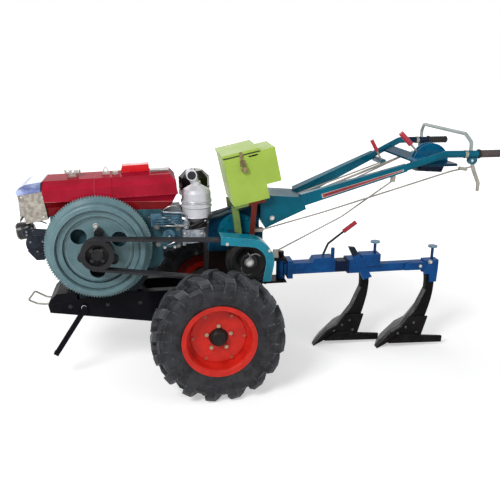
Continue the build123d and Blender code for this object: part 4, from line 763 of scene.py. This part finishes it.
def top_pieces():
    """Filler cap's knurled rim, the muffler's beads, mouth and clip, and the air filter's band."""
    rim = [(0, 0.0352), (0.002, 0.0372), (0.013, 0.0372), (0.0155, 0.0355)]
    piece("filler_cap_rim", "chassis", "zinc", [turned(rim, (0.652, -0.010, 1.0468), UP, 96, knurled)])
    bead = [(-0.003, 0.0739), (-0.002, 0.0765), (0.0, 0.0775), (0.002, 0.0765), (0.003, 0.0739)]
    piece("muffler_beads", "chassis", "silver_paint", [
        turned(bead, (*MUFFLER, z), UP, 48, looped=True) for z in (0.9005, 0.9075, 0.829)])
    piece("muffler_mouth", "chassis", "hose_rubber", [
        turned([(0.0, 0.0205), (0.0006, 0.0205)], (0.084, 0.0902, 1.034), LEFT, 32)])
    piece("muffler_clip", "chassis", "zinc", hex_head((0.084, 0.060, 1.0595), UP, 0.012, 0.006))
    band = [(-0.006, 0.0802), (-0.006, 0.0815), (0.006, 0.0815), (0.006, 0.0802)]
    piece("filter_band", "chassis", "zinc", [turned(band, (*FILTER, 0.935), UP, 48, looped=True)]
          + hex_head((*FILTER, 1.0270), UP, 0.014, 0.006))


def nut_pieces():
    """Nuts on the left side of the rocker cover and the cylinder head."""
    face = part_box("rocker_cover")[1].y - 0.001
    piece("rocker_cover_nuts", "chassis", "zinc", heads(
        at_side(face, (0.045, 0.716), (0.045, 0.752), (0.128, 0.716), (0.128, 0.756)), LEFT, 0.012, 0.008))
    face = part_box("cylinder_head")[1].y - 0.001
    piece("head_nuts", "chassis", "dull_steel", heads(
        at_side(face, (0.162, 0.705), (0.160, 0.790), (0.258, 0.715), (0.262, 0.800)), LEFT, 0.019, 0.012))


def pipe_pieces():
    """Injector pipes, hoses behind the muffler and the lamp's wires."""
    pipe = [(0.300, 0.120, 0.842), (0.270, 0.142, 0.850), (0.215, 0.150, 0.842), (0.180, 0.146, 0.815),
            (0.150, 0.135, 0.780)]
    loop = [(0.236, 0.112, 0.868), (0.205, 0.130, 0.892), (0.170, 0.126, 0.896), (0.146, 0.112, 0.872),
            (0.140, 0.100, 0.840)]
    piece("injector_pipes", "chassis", "zinc", [carried(pipe, 0.0032), carried(loop, 0.0026)])
    hose = [(-0.100, 0.085, 0.866), (-0.060, 0.098, 0.853), (-0.010, 0.102, 0.838), (0.040, 0.112, 0.812),
            (0.090, 0.118, 0.790), (0.128, 0.112, 0.775)]
    thin = [(-0.098, 0.080, 0.842), (-0.050, 0.092, 0.828), (0.000, 0.098, 0.818), (0.060, 0.112, 0.782)]
    piece("engine_hoses", "chassis", "hose_rubber", [carried(hose, 0.0062), carried(thin, 0.0035)])
    upper = [(0.868, 0.030, 0.800), (0.860, 0.070, 0.806), (0.846, 0.098, 0.822), (0.832, 0.112, 0.840),
             (0.800, 0.116, 0.842), (0.775, 0.112, 0.830)]
    lower = [(0.860, 0.050, 0.770), (0.858, 0.086, 0.790), (0.838, 0.116, 0.806), (0.815, 0.126, 0.800)]
    piece("lamp_wires", "chassis", "hose_rubber", [carried(upper, 0.0034), carried(lower, 0.0028)])


def right_side_pieces():
    """Round cover on the right of the crankcase, its bolts and four more beside it."""
    cover = [(0, 0.105), (0.004, 0.105), (0.006, 0.102), (0.010, 0.060), (0.012, 0.058)]
    piece("engine_side_cover", "chassis", "engine_grey", [
        turned(cover, (CRANK[0], -0.2115, CRANK[1]), RIGHT, 48)])
    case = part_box("engine_block")[0].y + CASE_INSET
    places = [*ring_points(CRANK, 0.094, 8, -0.2165, 22.5),
              *at_side(case, (0.30, 0.62), (0.30, 0.80), (0.70, 0.60), (0.70, 0.80))]
    piece("engine_side_bolts", "chassis", "zinc", heads(places, RIGHT, 0.013, 0.006))


def head_pieces():
    """Boss, ribs, flange, fuel filter, rods and fittings on the left of the head and the crankcase."""
    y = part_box("cylinder_head")[1].y - 0.0006
    cap = [(0, 0.029), (0.006, 0.029), (0.009, 0.026), (0.010, 0.014), (0.016, 0.013), (0.018, 0.010)]
    ribs = [turned(cap, (0.206, y, 0.758), LEFT, 32)]
    ribs += [flat(oblong(0.058, 0.0022), 0.007, (0.214, y, z), (-1, 0, 0),
                  UP) for z in (0.818, 0.830, 0.842)]
    pad = [(-0.030, -0.014), (0.030, -0.014), (0.036, 0.0), (0.030, 0.014), (-0.030, 0.014), (-0.036, 0.0)]
    ribs.append(flat(pad, 0.010, (0.204, y, 0.700), (-1, 0, 0), UP))
    piece("head_ribs", "chassis", "head_blue", ribs, 0.0008)
    bowl = [(0, 0.010), (0.004, 0.017), (0.024, 0.017), (0.026, 0.020), (0.034, 0.020), (0.038, 0.014),
            (0.046, 0.008)]
    feed = [(0.118, 0.108, 0.820), (0.120, 0.112, 0.842), (0.140, 0.120, 0.858), (0.180, 0.124, 0.862),
            (0.230, 0.120, 0.866)]
    piece("fuel_filter", "chassis", "cast_alloy", [turned(bowl, (0.118, 0.108, 0.775), UP, 28),
                                                 turned([(0, 0.007), (0.05, 0.007)],
                                                        (0.124, 0.108, 0.792), (0.9, 0.3, 0.1), 14),
                                                 carried(feed, 0.0045)])
    upper = [(0.262, 0.130, 0.800), (0.200, 0.160, 0.806), (0.140, 0.150, 0.800), (0.104, 0.124, 0.796)]
    lower = [(0.236, 0.150, 0.700), (0.180, 0.168, 0.726), (0.120, 0.140, 0.748)]
    piece("head_rods", "chassis", "zinc", [
        carried(upper, 0.0030), carried(lower, 0.0028),
        *heads(at_side(y + 0.0096, (0.180, 0.700), (0.228, 0.700)), LEFT, 0.011, 0.006),
        turned([(0, 0.006), (0.012, 0.006), (0.014, 0.004)], (0.206, y + 0.017, 0.758), LEFT, 6)])


def starter_pieces():
    """Stepped end cap of the starter with its three bolts, and the switch drum above it."""
    dish = [(0, 0.048), (0.002, 0.048), (0.004, 0.040), (0.0045, 0.024), (0.0065, 0.020), (0.0068, 0.010)]
    groove = [(-0.003, 0.0568), (-0.003, 0.0585), (0.003, 0.0585), (0.003, 0.0568)]
    switch = [(0, 0.022), (0.003, 0.024), (0.046, 0.024), (0.050, 0.020)]
    piece("starter_cap", "chassis", "starter_black", [
        turned(dish, (STARTER[0], 0.1276, STARTER[1]), LEFT, 40),
        *[turned(groove, (0.822, y, STARTER[1]), LEFT, 40, looped=True) for y in (0.085, 0.105)],
        turned(switch, (0.868, 0.074, 0.790), LEFT, 28)])
    piece("starter_bolts", "chassis", "dull_steel",
          heads(ring_points(STARTER, 0.032, 3, 0.1318, 30), LEFT, 0.009, 0.003, False)
          + heads(at_side(0.1238, (0.868, 0.797), (0.868, 0.781)), LEFT, 0.009, 0.006))


def lamp_pieces():
    """Glass and its rim on the lamp's front; the glass bulges as a shallow cap."""
    front = np.array(LAMP) + 0.0362 * np.array(LAMP_AXIS)
    dome = [(0, 0.036), (0.0025, 0.0335), (0.0045, 0.026), (0.0055, 0.014), (0.0058, 0.002)]
    piece("lamp_glass", "chassis", "lamp_glass", [turned(dome, front, LAMP_AXIS, 40)])
    rim = [(-0.003, 0.0385), (0.002, 0.0385), (0.003, 0.0365), (0.0, 0.0360)]
    piece("lamp_rim", "chassis", "zinc", [turned(rim, front, LAMP_AXIS, 40, looped=True)])


def radiator_pieces():
    """Cooling fins on the radiator's front, and its screws on the side."""
    low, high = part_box("radiator")
    front = high.x - AXLE - 0.001
    fins = [flat(oblong(0.120, 0.0012), 0.0035, (front, -0.020, z), LEFT, UP)
            for z in np.linspace(low.z + 0.020, high.z - 0.022, 15)]
    fins += [flat(oblong(0.126, 0.004), 0.005, (front, -0.020, z), LEFT, UP)
             for z in (low.z + 0.012, high.z - 0.014)]
    piece("radiator_fins", "chassis", "fin_grey", fins)
    screws = at_side(high.y - 0.0006, (0.782, 0.866), (0.782, 0.958), (0.868, 0.850), (0.874, 0.962))
    piece("radiator_screws", "chassis", "zinc", heads(screws, LEFT, 0.009, 0.004))


# Belt drive, gearbox and frame


def drive_pieces():
    """Bolts, nuts and clutch arms of the belt drive."""
    piece("crank_bolts", "flywheel", "pulley_iron", heads(
        ring_points(CRANK, 0.034, 4, 0.2855, 45), LEFT, 0.013, 0.006))
    piece("flywheel_mark", "flywheel", "zinc", hex_head((0.545, 0.1775, 0.826), LEFT, 0.020, 0.012))
    piece("flywheel_bolts", "flywheel", "zinc", heads(
        at_side(0.178, (0.547, 0.803), (0.464, 0.672)), LEFT, 0.013, 0.008))
    arms = []
    reach = 0.030
    for first in (20, 140, 260):
        turn = math.radians(first)
        centre = (CLUTCH[0] - reach * math.cos(turn), CLUTCH[1] + reach * math.sin(turn))
        arms.append(arc_strip(centre, reach, 0.0345, first - 20, first + 120, 0.003, 0.2865))
    boss = [(0, 0.024), (0.004, 0.024), (0.005, 0.021)]
    arms.append(turned(boss, (CLUTCH[0], 0.2862, CLUTCH[1]), LEFT, 32))
    piece("clutch_arms", "clutch_pulley", "dull_steel", arms)
    piece("clutch_nut", "clutch_pulley", "zinc",
          hex_head((CLUTCH[0], 0.2912, CLUTCH[1]), LEFT, 0.024, 0.009))
    piece("guard_bolts", "chassis", "zinc", heads(
        at_side(0.2978, (-0.060, 0.742), (-0.262, 0.700)), LEFT, 0.012, 0.005))


def case_pieces():
    """Bolts on the gearbox's upper cover and the handle base, and the stand's cotter ring."""
    cover, case, rail = [], [], []
    turns = np.radians((20, 55, 90, 125, 160))
    spots = [(DOME[0] + 0.084 * math.cos(turn), DOME[1] + 0.084 * math.sin(turn)) for turn in turns]
    for sign, out in ((1, LEFT), (-1, RIGHT)):
        cover += heads(at_side(sign * 0.0928, *spots), out, 0.011, 0.005)
        case += hex_head((-0.311, sign * 0.1078, 0.811), out, 0.018, 0.008)
        rail += heads(at_side(sign * 0.0958, (-0.230, 0.640), (-0.230, 0.560), (0.070, 0.640),
                              (-0.150, 0.600)), out, 0.014, 0.006)
        rail += heads([(x, sign * 0.1198, 0.405) for x in (0.200, 0.360, 0.520, 0.700)], out, 0.015, 0.007)
    piece("cover_bolts", "chassis", "teal_paint", cover)
    piece("handle_base_bolts", "chassis", "zinc", case)
    piece("frame_bolts", "chassis", "bolt_black", rail)
    ring = [(0.0012, 0.0115), (-0.0012, 0.0115), (-0.0012, 0.0140), (0.0012, 0.0140)]
    piece("stand_cotter_ring", "chassis", "zinc", [
        turned(ring, (0.634, 0.1400, 0.401), (0.15, 1, 0.1), 28, looped=True)])


def box_pieces():
    """Tool box: strap on the lid, staple and padlock on the side."""
    back = tuple(-part for part in LID_ALONG)
    middle = -0.088
    strap = [(-0.0085, -0.044), (0.0085, -0.044), (0.0085, 0.006), (-0.0085, 0.006)]
    rivets = [on_box(xp, 0.1546, 0.2475) for xp in (-0.0915, -0.0845)]
    piece("lid_hasp", "lid", "lock_brass", [flat(strap, 0.0016, on_box(middle, 0.1532, 0.246), back, LID_UP),
                                          *heads(rivets, LEFT, 0.006, 0.002, False)], 0.0004)
    plate = [(-0.014, -0.016), (0.014, -0.016), (0.014, 0.010), (-0.014, 0.010)]
    staple = [on_box(xp, y, 0.206) for xp, y in ((-0.0960, 0.150), (-0.0960, 0.161), (middle, 0.165),
                                                 (-0.0800, 0.161), (-0.0800, 0.150))]
    piece("box_staple", "chassis", "lock_brass", [
        flat(plate, 0.0014, on_box(middle, 0.1500, 0.200), back, LID_UP), carried(staple, 0.0018, 8, 6, UP)])
    lock = [(-0.014, -0.010), (-0.011, -0.014), (0.011, -0.014), (0.014, -0.010), (0.014, 0.009),
            (0.011, 0.012), (-0.011, 0.012), (-0.014, 0.009)]
    shackle = [on_box(xp, 0.1640, h) for xp, h in ((-0.0970, 0.180), (-0.0970, 0.196), (-0.0940, 0.205),
                                                   (middle, 0.2085), (-0.0820, 0.205), (-0.0790, 0.196),
                                                   (-0.0790, 0.180))]
    piece("box_padlock", "chassis", "lock_brass", [
        flat(lock, 0.014, on_box(middle, 0.1570, 0.170), back, LID_UP),
        carried(shackle, 0.0026, 8, 6, LEFT)], 0.0012)


# Handles and plough


def handle_pieces():
    """Clips, turnbuckles and bolts along the handles."""
    band = [(-0.008, 0.0172), (-0.008, 0.0195), (0.008, 0.0195), (0.008, 0.0172)]
    buckle = [(-0.022, 0.0065), (-0.018, 0.0092), (0.018, 0.0092), (0.022, 0.0065)]
    shapes, bolts = [], []
    for sign, out in ((1, LEFT), (-1, RIGHT)):
        y = sign * 0.280
        shapes.append(turned(band, (-1.225, y, 1.134), FRONT, 24, looped=True))
        shapes.append(turned(buckle, (-1.218, y, 1.0640), (1, 0, 0.19), 6))
        bolts += hex_head((-1.255, sign * 0.2930, 1.104), out, 0.010, 0.004)
    piece("handle_fittings", "chassis", "rod_steel", shapes)
    turns = np.radians((60, 90, 120))
    spots = [(-1.118 + 0.06 * math.cos(turn), 1.088 + 0.05 * math.sin(turn)) for turn in turns]
    bolts += heads(at_side(0.1278, *spots), LEFT, 0.010, 0.005)
    bolts += hex_head((-1.096, 0.1278, 1.096), LEFT, 0.013, 0.007)
    piece("handle_bolts", "chassis", "zinc", bolts)


def plough_pieces():
    """Bolt heads on the plough's clamps, its boards and its beam."""
    piece("plough_bolts", "plough", "zinc", heads(
        at_side(0.0298, (-1.218, 0.506), (-1.160, 0.486)), LEFT, 0.018, 0.009))
    piece("beam_bolts", "plough", "blue_paint", heads(
        [(x, 0.0300, 0.505) for x in (-0.430, -0.560, -0.790)], LEFT, 0.014, 0.007))
    studs = []
    for tip_x, tip_y in ((-0.595, -0.088), (-0.943, 0.002)):
        for px, pz in ((-0.120, 0.085), (-0.165, 0.120), (-0.210, 0.145), (-0.230, 0.085)):
            studs.append(turned([(0, 0.007), (0.0015, 0.006)], (tip_x + px, tip_y + 0.0263, pz), LEFT, 12))
    piece("share_studs", "plough", "board_steel", studs)


wheel_bolts(1, "wheel_left", "rim_bolts_left")
wheel_bolts(-1, "wheel_right", "rim_bolts_right")
top_pieces()
nut_pieces()
pipe_pieces()
right_side_pieces()
head_pieces()
starter_pieces()
lamp_pieces()
radiator_pieces()
drive_pieces()
case_pieces()
box_pieces()
handle_pieces()
plough_pieces()

# Floor, light and camera

WHITE = (1, 1, 1, 1)
FLOOR_REACH = 40
FLOOR_GREY = (0.8, 0.8, 0.8, 1)
# Share of white that the floor gives off near the object and far from it, and where each begins
GLOW_NEAR, GLOW_FAR = 0.42, 1.0
NEAR_EDGE, FAR_EDGE = 1.2, 3.2
SOFT_LIGHT, SEEN_LIGHT = 0.34, 1.0
CAMERA_PLACE = (AXLE + 0.2840, 3.0343, 1.5708)
CAMERA_ASIDE, CAMERA_DOWN, CAMERA_ROLL = 9.370, 17.271, 0.018
CAMERA_LENS, CAMERA_SENSOR = 44.15, 36.0


def stage_floor():
    """Pale floor that reads white to the camera where it is lit and keeps the object's soft shadow."""
    mesh = bpy.data.meshes.new("floor")
    corners = [(x * FLOOR_REACH, y * FLOOR_REACH, 0) for x, y in ((-1, -1), (1, -1), (1, 1), (-1, 1))]
    mesh.from_pydata(corners, [], [(0, 1, 2, 3)])
    floor = linked("floor", mesh)
    material = bpy.data.materials.new("pale_floor")
    material.use_nodes = True
    tree = material.node_tree
    shader = tree.nodes["Principled BSDF"]
    shader.inputs["Base Color"].default_value = FLOOR_GREY
    shader.inputs["Roughness"].default_value = 0.9
    shader.inputs["Specular IOR Level"].default_value = 0.0
    path = node(tree, "LightPath")
    seen = reckon(tree, "MAXIMUM", path.outputs["Is Camera Ray"], path.outputs["Is Glossy Ray"])
    away = vector_value(tree, "LENGTH", object_place(tree), (0, 0, 0))
    far = ramp(tree, away.outputs["Value"], NEAR_EDGE, FAR_EDGE)
    glow = node(tree, "Emission")
    glow.inputs["Color"].default_value = WHITE
    strength = reckon(tree, "MULTIPLY", seen, between(tree, far, GLOW_NEAR, GLOW_FAR))
    tree.links.new(strength, glow.inputs["Strength"])
    both = node(tree, "AddShader")
    tree.links.new(shader.outputs[0], both.inputs[0])
    tree.links.new(glow.outputs[0], both.inputs[1])
    tree.links.new(both.outputs[0], tree.nodes["Material Output"].inputs["Surface"])
    mesh.materials.append(material)


def stage_lamp(name, size, power, place, target):
    """Square soft lamp aimed at a point."""
    data = bpy.data.lights.new(name, "AREA")
    data.size = size
    data.energy = power
    lamp = linked(name, data)
    aim = (Vector(target) - Vector(place)).to_track_quat("-Z", "Y")
    lamp.matrix_world = Matrix.Translation(place) @ aim.to_matrix().to_4x4()


def stage_world():
    """Even grey light all round; the camera, mirrors and glass see white."""
    world = bpy.data.worlds.new("studio")
    bpy.context.scene.world = world
    world.use_nodes = True
    tree = world.node_tree
    tree.nodes.clear()
    out = node(tree, "OutputWorld")
    path = node(tree, "LightPath")
    soft = node(tree, "Background")
    soft.inputs["Color"].default_value = WHITE
    soft.inputs["Strength"].default_value = SOFT_LIGHT
    white = node(tree, "Background")
    white.inputs["Color"].default_value = WHITE
    white.inputs["Strength"].default_value = SEEN_LIGHT
    seen = reckon(tree, "MAXIMUM", path.outputs["Is Camera Ray"], path.outputs["Is Glossy Ray"])
    seen = reckon(tree, "MAXIMUM", seen, path.outputs["Is Transmission Ray"])
    join = node(tree, "MixShader")
    tree.links.new(seen, join.inputs[0])
    tree.links.new(soft.outputs[0], join.inputs[1])
    tree.links.new(white.outputs[0], join.inputs[2])
    tree.links.new(join.outputs[0], out.inputs[0])


def stage_camera():
    """Camera at the photograph's place, turned a little from square and looking down."""
    aside, down, roll = (math.radians(turn) for turn in (CAMERA_ASIDE, CAMERA_DOWN, CAMERA_ROLL))
    look = Vector((-math.sin(aside) * math.cos(down), -math.cos(aside) * math.cos(down), -math.sin(down)))
    side = look.cross(Vector((0, 0, 1))).normalized()
    top = side.cross(look)
    right = side * math.cos(roll) + top * math.sin(roll)
    up = -side * math.sin(roll) + top * math.cos(roll)
    turn = Matrix((right, up, -look)).transposed().to_4x4()
    data = bpy.data.cameras.new("camera")
    data.sensor_width = CAMERA_SENSOR
    data.lens = CAMERA_LENS
    camera = linked("camera", data)
    camera.matrix_world = Matrix.Translation(CAMERA_PLACE) @ turn
    bpy.context.scene.camera = camera


stage_floor()
stage_world()
stage_lamp("key", 1.4, 135.0, (2.4, 2.9, 3.3), (AXLE, 0, 0.6))
stage_lamp("fill", 3.0, 30.0, (-3.0, 2.4, 2.0), (-0.6, 0, 0.6))
stage_lamp("back", 3.0, 30.0, (0.4, -3.2, 2.6), (0, 0, 0.7))
stage_camera()
bpy.context.scene.view_settings.view_transform = "Standard"
